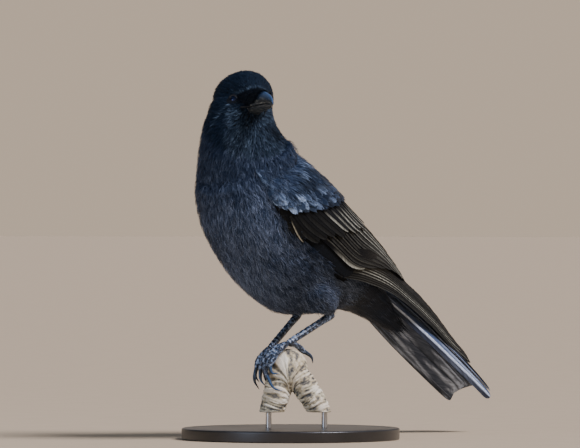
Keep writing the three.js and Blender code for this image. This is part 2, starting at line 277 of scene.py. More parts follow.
def loft_point(stations, side, t, turn, grow=0.0):
    """A point on the skin round a line of stations: x, y, z, half width, reach up and reach down."""
    stations = np.asarray(stations, float)
    centre = smooth(stations[:, :3], t)
    ahead = unit(step_along(stations[:, :3], t))
    across = unit(side - ahead * dot(side, ahead))
    up = np.cross(across, ahead)
    half, above, below = [smooth(stations[:, k], t) for k in (3, 4, 5)]
    c, s = np.cos(turn), np.sin(turn)
    reach = np.where(s > 0, above, below)
    return centre + across * ((half + grow) * c)[..., None] + up * ((reach + grow) * s)[..., None]


def tube(stations, side, rows, around, shape=None):
    """Points, faces and layer of a closed tube. shape(t, turn) says how much it stands out, in mm."""
    t = 0.5 - 0.5 * np.cos(np.linspace(0.02, 1 - 0.02, rows) * math.pi)
    t, turn = rings(t, around)
    grow = shape(t, turn) if shape else np.zeros_like(t)
    skin = loft_point(stations, side, t, turn, grow).reshape(-1, 3)
    ends = np.asarray(stations, float)[[0, -1], :3]
    uv = np.concatenate([pairs(t, turn / (2 * math.pi)), [[0, 0], [1, 0]]])
    points = np.concatenate([skin, ends])
    return points, facing_out(points, [grid(rows, around, True), end_fans(rows, around)]), uv


def facing_out(points, faces):
    """The same faces, turned round if the closed shape they make is inside out."""
    arm = points - points.mean(axis=0)
    volume = 0.0
    for some in faces:
        for k in range(2, some.shape[1]):
            volume += np.sum(arm[some[:, 0]] * np.cross(arm[some[:, k - 1]], arm[some[:, k]]))
    return faces if volume > 0 else [some[:, ::-1] for some in faces]


class Heap:
    """Collects the points, faces and layers of many small shapes that make one piece."""

    def __init__(self):
        self.points, self.faces, self.layers, self.count = [], {3: [], 4: []}, {}, 0

    def take(self, points, faces, **layers):
        self.points.append(points)
        for some in faces:
            if len(some):
                self.faces[some.shape[1]].append(some + self.count)
        for name, values in layers.items():
            self.layers.setdefault(name, []).append(values)
        self.count += len(points)

    def piece(self, name, material, slot, replaced=()):
        faces = [np.concatenate(some) for some in self.faces.values() if some]
        layers = {key: np.concatenate(values) for key, values in self.layers.items()}
        return add_mesh(name, np.concatenate(self.points), faces, material, layers, replaced)


# ---------------------------------------------------------------- materials
def linear(hex_colour):
    """An sRGB hex colour as linear red, green, blue and alpha."""
    parts = [int(hex_colour[i:i + 2], 16) / 255 for i in (1, 3, 5)]
    return [p / 12.92 if p <= 0.04045 else ((p + 0.055) / 1.055) ** 2.4 for p in parts] + [1.0]


def put(tree, kind, inputs=(), stops=(), out=0, **settings):
    """Adds a shader node and returns one of its outputs.

    inputs gives its sockets links, numbers or sRGB hex colours, stops are a colour ramp's positions and hex
    colours, out is which output to return, and settings are the node's other properties.
    """
    node = tree.nodes.new("ShaderNode" + kind)
    for key, value in settings.items():
        setattr(node, key, value)
    for key, value in dict(inputs).items():
        if isinstance(value, bpy.types.NodeSocket):
            tree.links.new(value, node.inputs[key])
        else:
            node.inputs[key].default_value = linear(value) if isinstance(value, str) else value
    for k, (position, colour) in enumerate(stops):
        elements = node.color_ramp.elements
        element = elements[k] if k < len(elements) else elements.new(1.0)
        element.position = position
        element.color = linear(colour)
    return node.outputs[out] if node.outputs else node


def new_material(name):
    material = bpy.data.materials.new(name)
    material.use_nodes = True
    material.node_tree.nodes.clear()
    return material, material.node_tree


def finish_material(material, inputs):
    surface = put(material.node_tree, "BsdfPrincipled", inputs)
    put(material.node_tree, "OutputMaterial", {"Surface": surface})
    return material


def layer(tree, name):
    """The two numbers that a piece's layer holds at each point."""
    uv = put(tree, "UVMap", uv_map=name)
    return [put(tree, "SeparateXYZ", {0: uv}, out=axis) for axis in ("X", "Y")]


def vane_material(name, dark, blue, pale, rough, specular, tint, barb_mm, relief_mm,
                  streaks=(1.3, 0.35, 1.6)):
    """A feather's vane. The layer vane holds mm across and along it, and tone how pale and how blue it is.

    streaks are the locks of barbs: how many there are in a mm, and how dark and how pale they go.
    """
    material, tree = new_material(name)
    across, along = layer(tree, "vane")
    paleness, blueness = layer(tree, "tone")
    # Barbs leave the shaft slantwise, so a line of equal lean is one barb.
    half = put(tree, "Math", {0: across}, operation="ABSOLUTE")
    lean = put(tree, "Math", {0: half, 1: -1.5, 2: along}, operation="MULTIPLY_ADD")
    turns = put(tree, "Math", {0: lean, 1: 2 * math.pi / barb_mm}, operation="MULTIPLY")
    ridge = put(tree, "Math", {0: turns}, operation="SINE")
    drawn_out = put(tree, "Math", {0: across, 1: 0.3}, operation="MULTIPLY")
    place = put(tree, "CombineXYZ", {"X": lean, "Y": drawn_out})
    streak = put(tree, "TexNoise", {"Vector": place, "Scale": streaks[0], "Detail": 3.0})
    contrast = put(tree, "MapRange", {"Value": streak, 1: 0.35, 2: 0.68, 3: streaks[1], 4: streaks[2]})
    # Mixing in the pale colour by the tone layer paints glints of light on the barbs.
    lit = put(tree, "Math", {0: paleness, 1: contrast}, operation="MULTIPLY", use_clamp=True)
    body = put(tree, "Mix", {"Factor": blueness, "A": dark, "B": blue}, out=2, data_type="RGBA")
    return finish_material(material, {
        "Base Color": put(tree, "Mix", {"Factor": lit, "A": body, "B": pale}, out=2, data_type="RGBA"),
        "Roughness": put(tree, "MapRange", {"Value": streak, 1: 0.3, 2: 0.7,
                                            3: rough - 0.08, 4: rough + 0.1}),
        "Normal": put(tree, "Bump", {"Height": ridge, "Strength": 0.5, "Distance": relief_mm * MM}),
        "IOR": 1.55, "Specular IOR Level": specular, "Specular Tint": tint})


def head_feathers():
    # Short, dense, velvety black barbs: they drink light, and give back only a little deep blue.
    return vane_material("head_feather_dense_velvet_barbs", "#070709", "#0c1927", "#6b7e92", 0.58, 0.11,
                         "#9ab4d6", 0.7, 0.08)


def contour_feathers():
    # Black keratin in loose, open barbs: a blue-grey glint on each strand over a near-black depth.
    return vane_material("contour_feather_loose_barbs", "#07070a", "#102036", "#8b99b2", 0.5, 0.22,
                         "#a5bce2", 0.9, 0.12)


def covert_feathers():
    # Black keratin in closed, hooked barbs: a smooth scale with a slate-blue gloss and a fine pale rim of
    # painted highlight.
    return vane_material("covert_feather_closed_vane", "#06070a", "#0d2038", "#8fa2bc", 0.42, 0.26,
                         "#93b4ea", 1.0, 0.08, (0.8, 0.5, 1.5))


def flight_feathers():
    # Stiff closed vanes, worn by flying: satin brown-black, with paler edges of painted highlight where
    # raking light catches the webs.
    return vane_material("flight_feather_worn_vane_painted_lit_edges", "#040404", "#0c1626", "#b0ae9c", 0.42, 0.10,
                         "#c3d0e6", 1.2, 0.08, (0.5, 0.55, 1.4))


def tail_feathers():
    # Long stiff vanes, brown-black with a steel-blue that is partly the crow's own gloss and partly painted
    # sky reflection, and painted silvery glints where the barbs catch the light.
    return vane_material("tail_feather_silvery_under_vane", "#0c0807", "#12325c", "#c8d3e4", 0.34, 0.28,
                         "#b9cdf0", 1.4, 0.08, (0.45, 0.6, 1.3))


def skin_material():
    # Dark skin under black down: rough and light-drinking, so the gaps between feathers read as depth.
    material, tree = new_material("skin_under_black_down")
    place = put(tree, "TexCoord", out="Object")
    down = put(tree, "TexNoise", {"Vector": place, "Scale": 900.0, "Detail": 3.0})
    return finish_material(material, {
        "Base Color": put(tree, "ValToRGB", {"Fac": down}, [(0.3, "#040506"), (0.75, "#0f151d")]),
        "Normal": put(tree, "Bump", {"Height": down, "Strength": 0.8, "Distance": 0.4 * MM}),
        "Roughness": 0.85, "Specular IOR Level": 0.15})


def horn_material():
    # Grey-black keratin, grown in layers and polished by use: a soft gloss, a painted reflection of blue sky
    # along the ridge, and fine lengthwise wear that shows paler horn.
    material, tree = new_material("black_horn_polished_by_use")
    grain = put(tree, "UVMap", uv_map="grain")
    stretched = put(tree, "Mapping", {"Vector": grain, "Scale": (5.0, 34.0, 1.0)})
    wear = put(tree, "TexNoise", {"Vector": stretched, "Scale": 1.6, "Detail": 6.0})
    worn = put(tree, "ValToRGB", {"Fac": wear},
               [(0.34, "#0d1014"), (0.47, "#1b2026"), (0.57, "#393d3c"), (0.68, "#7d7d74")])
    # The top of each bill half and claw is mixed towards blue, as a painted reflection of the sky.
    turn = layer(tree, "grain")[1]
    round_it = put(tree, "Math", {0: turn, 1: 2 * math.pi}, operation="MULTIPLY")
    height = put(tree, "Math", {0: round_it}, operation="SINE")
    ridge = put(tree, "MapRange", {"Value": height, 1: 0.35, 2: 0.95, 3: 0.0, 4: 0.8})
    return finish_material(material, {
        "Base Color": put(tree, "Mix", {"Factor": ridge, "A": worn, "B": "#3d5a80"}, out=2,
                          data_type="RGBA"),
        "Roughness": put(tree, "MapRange", {"Value": wear, 3: 0.24, 4: 0.5}),
        "Normal": put(tree, "Bump", {"Height": wear, "Strength": 0.5, "Distance": 0.25 * MM}),
        "IOR": 1.54, "Specular Tint": "#b9d2f2"})


def scute_material():
    # Horny plates on a crow's foot: blue-black and waxy. The palest blue-grey of the mottle is painted
    # highlight, and the pale edge where each plate overlaps the next is partly a dry edge and partly painted
    # highlight.
    material, tree = new_material("blue_black_leg_scutes")
    plates, top = layer(tree, "scale")
    place = put(tree, "TexCoord", out="Object")
    mottle = put(tree, "TexNoise", {"Vector": place, "Scale": 420.0, "Detail": 4.0})
    wobble = put(tree, "Math", {0: mottle, 1: 0.6, 2: plates}, operation="MULTIPLY_ADD")
    part = put(tree, "Math", {0: wobble}, operation="FRACT")
    edge = put(tree, "MapRange", {"Value": part, 1: 0.80, 2: 0.99})
    shown = put(tree, "Math", {0: edge, 1: top}, operation="MULTIPLY")
    worn = put(tree, "MapRange", {"Value": mottle, 1: 0.42, 2: 0.6})
    edged = put(tree, "Math", {0: shown, 1: worn}, operation="MULTIPLY")
    plate = put(tree, "ValToRGB", {"Fac": mottle}, [(0.36, "#10151d"), (0.5, "#2a384c"), (0.62, "#8496b0")])
    pebble = put(tree, "TexVoronoi", {"Vector": place, "Scale": 1300.0}, out="Distance")
    return finish_material(material, {
        "Base Color": put(tree, "Mix", {"Factor": edged, "A": plate, "B": "#c2c6c8"}, out=2,
                          data_type="RGBA"),
        "Normal": put(tree, "Bump", {"Height": pebble, "Strength": 0.5, "Distance": 0.15 * MM}),
        "Roughness": 0.36, "IOR": 1.5})


def eye_material():
    # A glass eye: near-black pupil in a dark iris whose blue is a painted reflection of the sky, under a
    # clear, wet cornea that mirrors blue sky.
    material, tree = new_material("dark_eye_wet_cornea")
    out_from_pupil, turn = layer(tree, "iris")
    round_it = put(tree, "Math", {0: turn, 1: 60.0}, operation="MULTIPLY")
    out = put(tree, "Math", {0: out_from_pupil, 1: 3.0}, operation="MULTIPLY")
    spokes = put(tree, "TexNoise", {"Vector": put(tree, "CombineXYZ", {"X": round_it, "Y": out})})
    iris = put(tree, "ValToRGB", {"Fac": out_from_pupil},
               [(0.20, "#020203"), (0.24, "#14203a"), (0.42, "#0c1424"), (0.5, "#030304")])
    return finish_material(material, {
        "Base Color": put(tree, "Mix", {"Factor": spokes, "A": iris, "B": "#040303"}, out=2,
                          data_type="RGBA"),
        "Roughness": 0.08, "IOR": 1.376, "Specular IOR Level": 0.9, "Specular Tint": "#7c9dff",
        "Coat Weight": 0.3, "Coat Roughness": 0.04})


def lid_material():
    # Bare lid skin: dark grey, finely wrinkled, with a slightly paler margin.
    material, tree = new_material("wrinkled_grey_lid_skin")
    place = put(tree, "TexCoord", out="Object")
    crease = put(tree, "TexNoise", {"Vector": place, "Scale": 1600.0, "Detail": 2.0})
    # The palest colour is reached only on the tops of the mouth's folds, where it is painted highlight.
    return finish_material(material, {
        "Base Color": put(tree, "ValToRGB", {"Fac": layer(tree, "fold")[0]},
                          [(0.0, "#04060a"), (0.5, "#080c13"), (1.0, "#28323f")]),
        "Normal": put(tree, "Bump", {"Height": crease, "Strength": 0.6, "Distance": 0.15 * MM}),
        "Roughness": 0.45})


def bark_material():
    # Young bark, cream to tan, crossed by corky ridges: worn pale on top, grey and dirty in the grooves.
    material, tree = new_material("ridged_cream_and_grey_bark")
    place = put(tree, "TexCoord", out="Object")
    fine = put(tree, "TexNoise", {"Vector": place, "Scale": 420.0, "Detail": 5.0})
    blotch = put(tree, "TexNoise", {"Vector": place, "Scale": 60.0, "Detail": 3.0})
    high = put(tree, "Math", {0: fine, 1: 0.55, 2: layer(tree, "relief")[0]}, operation="MULTIPLY_ADD")
    bark = put(tree, "ValToRGB", {"Fac": high},
               [(0.50, "#3d4144"), (0.64, "#827f76"), (0.75, "#cbbf9e"), (0.95, "#f8f0dc")])
    lichen = put(tree, "ValToRGB", {"Fac": blotch}, [(0.45, "#b9a277"), (0.6, "#dcdcd6")])
    return finish_material(material, {
        "Base Color": put(tree, "Mix", {"Factor": 0.35, "A": bark, "B": lichen}, out=2, data_type="RGBA",
                          blend_type="MULTIPLY"),
        "Normal": put(tree, "Bump", {"Height": high, "Strength": 0.9, "Distance": 0.7 * MM}),
        "Roughness": 0.8})


def lacquer_material():
    # Turned beech under black satin lacquer: even and smooth, with the ring marks of the lathe just showing.
    material, tree = new_material("black_satin_lacquer_on_turned_beech")
    place = put(tree, "TexCoord", out="Object")
    lathe = put(tree, "TexWave", {"Vector": place, "Scale": 160.0, "Distortion": 1.5, "Detail": 2.0},
                out="Fac", wave_type="RINGS", rings_direction="Z")
    dust = put(tree, "TexNoise", {"Vector": place, "Scale": 40.0, "Detail": 6.0})
    return finish_material(material, {
        "Base Color": put(tree, "ValToRGB", {"Fac": dust}, [(0.3, "#161413"), (0.7, "#24211f")]),
        "Roughness": put(tree, "MapRange", {"Value": dust, 3: 0.32, 4: 0.46}),
        "Normal": put(tree, "Bump", {"Height": lathe, "Strength": 0.15, "Distance": 0.1 * MM}),
        "Coat Weight": 0.3, "Coat Roughness": 0.25})


def steel_material():
    # Drawn steel rod: bright metal with fine scratches along its length.
    material, tree = new_material("drawn_steel_rod")
    place = put(tree, "TexCoord", out="Object")
    lengthwise = put(tree, "Mapping", {"Vector": place, "Scale": (900.0, 900.0, 25.0)})
    scratch = put(tree, "TexNoise", {"Vector": lengthwise, "Scale": 1.0, "Detail": 3.0})
    return finish_material(material, {
        "Base Color": put(tree, "ValToRGB", {"Fac": scratch}, [(0.3, "#a9a9aa"), (0.7, "#d2d2d0")]),
        "Roughness": put(tree, "MapRange", {"Value": scratch, 3: 0.22, 4: 0.4}),
        "Metallic": 1.0})


def floor_material():
    # Matt studio paper, plain and pale.
    material, tree = new_material("pale_studio_paper")
    fibre = put(tree, "TexNoise", {"Vector": put(tree, "TexCoord", out="Object"), "Scale": 30.0})
    return finish_material(material, {
        "Base Color": put(tree, "ValToRGB", {"Fac": fibre}, [(0.3, "#c6b294"), (0.7, "#c9b597")]),
        "Roughness": 0.95, "Specular IOR Level": 0.1})


# ---------------------------------------------------------------- the wing's own surface
# The closed wing lies round the flank. Its place is t, from the wrist to the last inner feather, and q, from
# its lower edge at -1 to its upper edge at 1. These sizes are those of the solid wing.
BED = vec(
    [-92, 4, 33, 39, 35], [-60, 0, 45, 50, 47], [-30, -3, 50, 55, 54], [0, -4, 52, 56.5, 57],
    [30, -4, 50.5, 55, 54], [60, 0, 47, 50.5, 43], [90, 6, 41, 43.5, 33], [120, 12, 34, 35, 25],
    [150, 17, 27, 27, 20])
WING_THICK = [0, 8, 9, 8, 7, 6, 5, 4, 3, 0]
WING_LOWER = [2, -14, -20, -20, -20, -19, -8, 4, 13, 40]
WING_UPPER = [8, 62, 74, 79, 81, 82, 82, 81, 78, 50]
WING_AIR = 2.4


def on_wing(t, q, lift=0.0):
    """A point of the left wing's outer face, raised by lift."""
    t, q, lift = np.broadcast_arrays(np.asarray(t, float), q, lift)
    aft, dorsal, half, above, below = np.moveaxis(smooth(BED, t), -1, 0)
    lower, upper = np.radians(smooth(WING_LOWER, t)), np.radians(smooth(WING_UPPER, t))
    angle = (lower + upper) / 2 + (upper - lower) / 2 * q
    out = WING_AIR + smooth(WING_THICK, t) * np.sqrt(np.clip(1 - q * q, 0, 1)) + lift
    reach = np.where(np.sin(angle) > 0, above, below) + out
    return on_trunk(aft, dorsal + reach * np.sin(angle), (half + out) * np.cos(angle))


def wing_scales(t, q):
    """How many mm one unit of t, and one unit of q, is there."""
    step = 0.01
    along = on_wing(t + step, q) - on_wing(t - step, q)
    across = on_wing(t, np.minimum(q + step, 0.999)) - on_wing(t, q - step)
    return [np.linalg.norm(some, axis=-1) / (2 * step) for some in (along, across)]


def wing_place(points):
    """t and q of points near either wing."""
    arm = points - TRUNK_MIDDLE
    aft, dorsal, left = arm @ AFT, arm @ DORSAL, np.abs(arm[:, 0])
    t = np.interp(aft, BED[:, 0], np.linspace(0, 1, len(BED)))
    centre, half, above, below = np.moveaxis(smooth(BED, t), -1, 0)[1:]
    reach = np.where(dorsal > centre, above, below)
    angle = np.arctan2((dorsal - centre) / reach, left / half)
    lower, upper = np.radians(smooth(WING_LOWER, t)), np.radians(smooth(WING_UPPER, t))
    q = (angle - (lower + upper) / 2) / ((upper - lower) / 2)
    q = np.where((aft < BED[0, 0]) | (aft > BED[-1, 0]), 9.0, q)
    return t, q


def wing_apart(points, t, q):
    """How far each point is from the wing's face at t and q."""
    return np.linalg.norm(on_left(points) - on_wing(np.clip(t, 0, 1), np.clip(q, -1, 1)), axis=1)


# ---------------------------------------------------------------- the skin
CLOSING = 1.0  # the solids are swollen by this much to close the gaps between them, and shrunk again
SKIN_VOXEL = 1.5
ARM_END = 0.60  # how far along the wing its arm and flesh reach
QUILL_DEPTH = 4.6  # how far the flesh of the wing lies under the outer faces of its quills


def merged(node):
    """A solid's points in mm with its doubled corners merged, its triangles, and its points' normals."""
    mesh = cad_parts[node].data
    mesh.calc_loop_triangles()
    points = np.zeros(len(mesh.vertices) * 3, np.float32)
    mesh.vertices.foreach_get("co", points)
    corners = np.zeros(len(mesh.loop_triangles) * 3, np.int32)
    mesh.loop_triangles.foreach_get("vertices", corners)
    points, index = np.unique(np.round(points.reshape(-1, 3) / MM, 3), axis=0, return_inverse=True)
    faces = index.reshape(-1)[corners].reshape(-1, 3)
    return points, faces, point_normals(points, faces)


def point_normals(points, faces):
    a, b, c = [points[faces[:, k]] for k in range(3)]
    face_normals = np.cross(b - a, c - a)
    normals = np.zeros_like(points)
    for k in range(3):
        np.add.at(normals, faces[:, k], face_normals)
    return unit(normals)


def closed_over(name, shapes, voxel, rounds):
    """One smooth skin of quads over several closed shapes, each given as points and triangles."""
    points, faces, count = [], [], 0
    for some_points, some_faces in shapes:
        points.append(some_points)
        faces.append(some_faces + count)
        count += len(some_points)
    mesh = bpy.data.meshes.new(name)
    mesh.from_pydata((np.concatenate(points) * MM).tolist(), [], np.concatenate(faces).tolist())
    rough = bpy.data.objects.new(name, mesh)
    bpy.context.scene.collection.objects.link(rough)
    remesh = rough.modifiers.new("close", "REMESH")
    remesh.mode = "VOXEL"
    remesh.voxel_size = voxel * MM
    soften = rough.modifiers.new("soften", "SMOOTH")
    soften.factor = 0.5
    soften.iterations = rounds
    made = bpy.data.meshes.new_from_object(rough.evaluated_get(bpy.context.evaluated_depsgraph_get()))
    bpy.data.objects.remove(rough)
    points = np.zeros(len(made.vertices) * 3, np.float32)
    made.vertices.foreach_get("co", points)
    points = points.reshape(-1, 3) / MM
    corners = np.zeros(len(made.loops), np.int32)
    made.loops.foreach_get("vertex_index", corners)
    quads = corners.reshape(-1, 4)
    bpy.data.meshes.remove(made)
    triangles = np.concatenate([quads[:, :3], quads[:, [0, 2, 3]]])
    return points, quads, triangles, point_normals(points, triangles)


def arm_pad(side):
    """The flesh of a folded wing, as a closed pad under its quills."""
    rows, around = 40, 36
    t, turn = rings(np.linspace(0.02, ARM_END, rows), around)
    depth = QUILL_DEPTH * (0.6 + 0.4 * ease(t, 0.02, 0.2))
    lift = np.where(np.sin(turn) > 0, -depth, -10.0) * np.minimum(1, 6 * np.abs(np.sin(turn)))
    skin = on_wing(t, 0.94 * np.cos(turn), lift).reshape(-1, 3)
    ends = on_wing(np.array([0.0, ARM_END + 0.02]), np.array([0.0, 0.0]), np.array([-4.0, -7.0]))
    points = np.concatenate([skin, ends]) * vec(side, 1, 1)
    quads = grid(rows, around, True)
    faces = np.concatenate([quads[:, [0, 1, 2]], quads[:, [0, 2, 3]], end_fans(rows, around)])
    return points, facing_out(points, [faces])[0]


KNEE, ANKLE = from_feet(29, 4, 62), from_feet(20, 48, 31)


def leg_share(points):
    """How much each point belongs to the feathered shin, and how far down it that is."""
    arm = on_left(points) - KNEE
    axis = ANKLE - KNEE
    down = np.clip(arm @ axis / (axis @ axis), 0, 1)
    radius = np.interp(down, [0, 0.55, 1], [20, 13, 5.5])
    apart = np.linalg.norm(arm - down[:, None] * axis, axis=1)
    return (1 - ease(apart / radius, 1.15, 1.6)) * ease(down, 0.3, 0.55), down


def coat_depth(reach, leg, down):
    """How far the skin lies inside the solid body: least on the face and shins, most on the belly."""
    depth = np.interp(reach, [0, 16, 45, 80, 130, 220, 330], [0.9, 1.2, 2.0, 3.0, 3.8, 4.4, 4.2])
    return depth * (1 - leg) + np.interp(down, [0.4, 0.8, 1], [3.6, 2.2, 0.8]) * leg


def under_wing(points, t, q):
    """How much of each point is the flesh under a folded wing, from 0 to 1."""
    lengthwise = ease(t, 0, 0.06) * (1 - ease(t, ARM_END - 0.04, ARM_END + 0.02))
    return lengthwise * (1 - ease(np.abs(q), 0.9, 1.05)) * (1 - ease(wing_apart(points, t, q), 12, 18))


def swollen(node, by):
    """A solid grown by some mm on every side, as points and triangles."""
    points, faces, normals = merged(node)
    return points + normals * by, faces


def make_skin(material):
    """One skin over the whole body, as deep under its outline as the coat is thick."""
    flesh = ["head", "neck", "trunk", "thigh_left", "thigh_right"]
    shapes = [swollen(node, CLOSING) for node in flesh] + [arm_pad(1), arm_pad(-1)]
    points, quads, triangles, normals = closed_over("body", shapes, SKIN_VOXEL, 14)
    t, q = wing_place(points)
    depth = coat_depth(lie_of_coat(points, normals)[0], *leg_share(points))
    points = points - normals * ((CLOSING + depth) * (1 - under_wing(points, t, q)))[:, None]
    normals = point_normals(points, triangles)
    reach, turn, _ = lie_of_coat(points, normals)
    add_mesh("skin", points, [quads], material, {"OFBake": unwrap(reach, turn)}, flesh)
    return Hide(points, quads, normals)


def unwrap(reach, turn):
    """The skin laid flat: along the body one way and round it the other."""
    return np.stack([0.02 + 0.96 * reach / SPINE_REACH[-1], 0.5 + 0.48 * turn / math.pi], axis=-1)


def patch(across, along):
    """A small feather's corners on the unwrap, from its root's place there."""
    return np.stack([across * 0.5, along - 0.5], axis=-1) * UNWRAP_PATCH


class Hide:
    """The skin as something to lay feathers on."""

    def __init__(self, points, quads, normals):
        self.points, self.quads = points, quads
        self.face_normals = unit(normals[quads].mean(axis=1))
        self.tree = BVHTree.FromPolygons(points.tolist(), quads.tolist())

    def nearest(self, points):
        flat = np.asarray(points, float).reshape(-1, 3)
        found = [self.tree.find_nearest(point) for point in flat.tolist()]
        at = np.array([hit[0] for hit in found])
        normals = self.face_normals[[hit[2] for hit in found]]
        return at.reshape(np.shape(points)), normals.reshape(np.shape(points))

    def scatter(self, count):
        """Evenly spread random points on the skin, with their normals."""
        a, b, c, d = [self.points[self.quads[:, k]] for k in range(4)]
        area = np.linalg.norm(np.cross(c - a, d - b), axis=1)
        face = draw.choice(len(area), count, p=area / area.sum())
        u, v = draw.random((2, count, 1))
        points = (a[face] * (1 - u) + b[face] * u) * (1 - v) + (d[face] * (1 - u) + c[face] * u) * v
        return points, self.face_normals[face]


def thinned(points, apart):
    """The indices of points that keep at least apart mm from each other, taken in order."""
    kept, cells = [], {}
    size = float(np.max(apart))
    for i, (point, gap) in enumerate(zip(points.tolist(), np.broadcast_to(apart, len(points)).tolist())):
        cell = tuple(int(x // size) for x in point)
        near = (other for dx in (-1, 0, 1) for dy in (-1, 0, 1) for dz in (-1, 0, 1)
                for other in cells.get((cell[0] + dx, cell[1] + dy, cell[2] + dz), ()))
        clear = ((point[0] - o[0]) ** 2 + (point[1] - o[1]) ** 2 + (point[2] - o[2]) ** 2 > gap * gap
                 for o in near)
        if all(clear):
            kept.append(i)
            cells.setdefault(cell, []).append(point)
    return np.array(kept, int)


# ---------------------------------------------------------------- one feather's pattern
class Pattern:
    """The flat plan of a small feather: across from -1 to 1, along from 0 to 1, and what hangs loose."""

    def __init__(self):
        self.corners, self.faces = [], {3: [], 4: []}

    def corner(self, across, along, loose=0.0, strand=0):
        self.corners.append((across, along, loose, strand))
        return len(self.corners) - 1

    def face(self, *corners):
        self.faces[len(corners)].append(corners)

    def strips(self, rows):
        """Joins rows of corners with four-cornered faces."""
        for low, high in zip(rows, rows[1:]):
            for k in range(len(low) - 1):
                self.face(low[k], low[k + 1], high[k + 1], high[k])

    def parts(self):
        across, along, loose, strand = np.array(self.corners).T
        return across, along, loose, strand.astype(int)

    def triangles(self):
        return len(self.faces[3]) + 2 * len(self.faces[4])

    def copies(self, count):
        """The faces of that many copies, one after the other."""
        shift = (np.arange(count) * len(self.corners))[:, None, None]
        return [(np.array(some)[None] + shift).reshape(-1, sides)
                for sides, some in self.faces.items() if some]


def plume_pattern(fingers):
    """A contour feather: a closed base that frays into tapering locks of barbs."""
    plan = Pattern()
    rows = [[plan.corner(width * (2 * k / fingers - 1), along, strand=min(k, fingers - 1))
             for k in range(fingers + 1)] for along, width in ((0.0, 0.42), (0.25, 0.9), (0.5, 1.0))]
    plan.strips(rows)
    half = 0.6 / fingers
    for k in range(fingers):
        centre = 2 * (k + 0.5) / fingers - 1
        reach = 1 - 0.28 * abs(centre) ** 1.6
        at = 0.5 + 0.27 * reach
        left = plan.corner(0.98 * centre - half, at, 0.4, k)
        right = plan.corner(0.98 * centre + half, at, 0.4, k)
        tip = plan.corner(0.9 * centre, 0.5 + 0.5 * reach, 1.0, k)
        plan.face(rows[-1][k], rows[-1][k + 1], right, left)
        plan.face(left, right, tip)
    return plan


def scale_pattern(columns, rows):
    """A covert: a closed, round-ended vane."""
    plan = Pattern()
    lines = []
    for j in range(rows + 1):
        along = (j / rows) ** 0.8
        width = 0.55 + 0.45 * min(1.0, along / 0.45)
        if along > 0.45:
            width = math.sqrt(max(0.03, 1 - ((along - 0.45) / 0.55) ** 3))
        loose = 0.3 if j == rows else 0.0
        lines.append([plan.corner(width * (2 * k / columns - 1), along, loose, k)
                      for k in range(columns + 1)])
    plan.strips(lines)
    return plan


def lay(heap, plan, hide, roots, ways, length, width, lift, cup, bend, tone, flat, fray=0.16):
    """Lays a feather of the plan on the hide at each root, along its way.

    length and width are in mm; lift is how high the root and the tip stand; cup is how far the middle
    stands over the edges; bend is its sideways curve; tone is how pale, in painted glint, and how blue; flat
    is its place on the unwrap; fray is how far its loose ends stray.
    """
    count = len(roots)
    across, along, loose, strand = plan.parts()
    stray = draw.normal(0, 1, (count, strand.max() + 1, 3))[:, strand] * loose[:, None] * fray
    share = np.clip(along + stray[..., 0], 0, 1.3)
    along_mm = share * length[:, None]
    across_mm = (across / 2 + 0.35 * stray[..., 1]) * width[:, None]
    # The shaft walks over the hide in steps, so that a long feather bends with the body.
    steps = 4
    at, normals = hide.nearest(roots)
    shaft, normal, heading = [at], [normals], [ways]
    for _ in range(steps):
        way = unit(heading[-1] - normals * dot(heading[-1], normals))
        free = shaft[-1] + way * (length / steps)[:, None]
        at, new_normals = hide.nearest(free)
        shaft.append(free + new_normals * np.clip(dot(at - free, new_normals), -2.5, 2.5))
        normals = unit(normals * 0.35 + new_normals * 0.65)
        normal.append(normals)
        heading.append(way)
    shaft, normal, heading = [np.stack(some, axis=1) for some in (shaft, normal, heading)]
    step = np.minimum(share, 1.25) * steps
    i = np.minimum(step.astype(int), steps - 1)
    part = (step - i)[..., None]
    row = np.arange(count)[:, None]
    centre = shaft[row, i] * (1 - part) + shaft[row, i + 1] * part
    out = unit(normal[row, i] * (1 - part) + normal[row, i + 1] * part)
    side = unit(np.cross(unit(heading[row, i + 1]), out))
    low, high = [value[:, None] for value in lift]
    rise = low + (high - low) * share ** 0.8 + cup * (0.4 - across ** 2) + 0.5 * stray[..., 2] * high
    # Wide vanes bend down with the body at their sides.
    rise = rise - across_mm ** 2 / (2 * 60.0)
    sway = across_mm + bend[:, None] * share ** 2 * length[:, None]
    points = centre + side * sway[..., None] + out * rise[..., None]
    shades = draw.normal(0, 1, (count, strand.max() + 1))[:, strand]
    # The painted glint grows from the root to the tip.
    pale = tone[0][:, None] * (0.2 + 1.05 * along ** 1.5) * np.exp(0.65 * shades)
    blue = tone[1][:, None] + 0.1 * shades
    heap.take(points.reshape(-1, 3), plan.copies(count), vane=pairs(across_mm, along_mm),
              tone=np.clip(pairs(pale, blue), 0, 1),
              OFBake=(flat[:, None] + patch(across, along)).reshape(-1, 2))


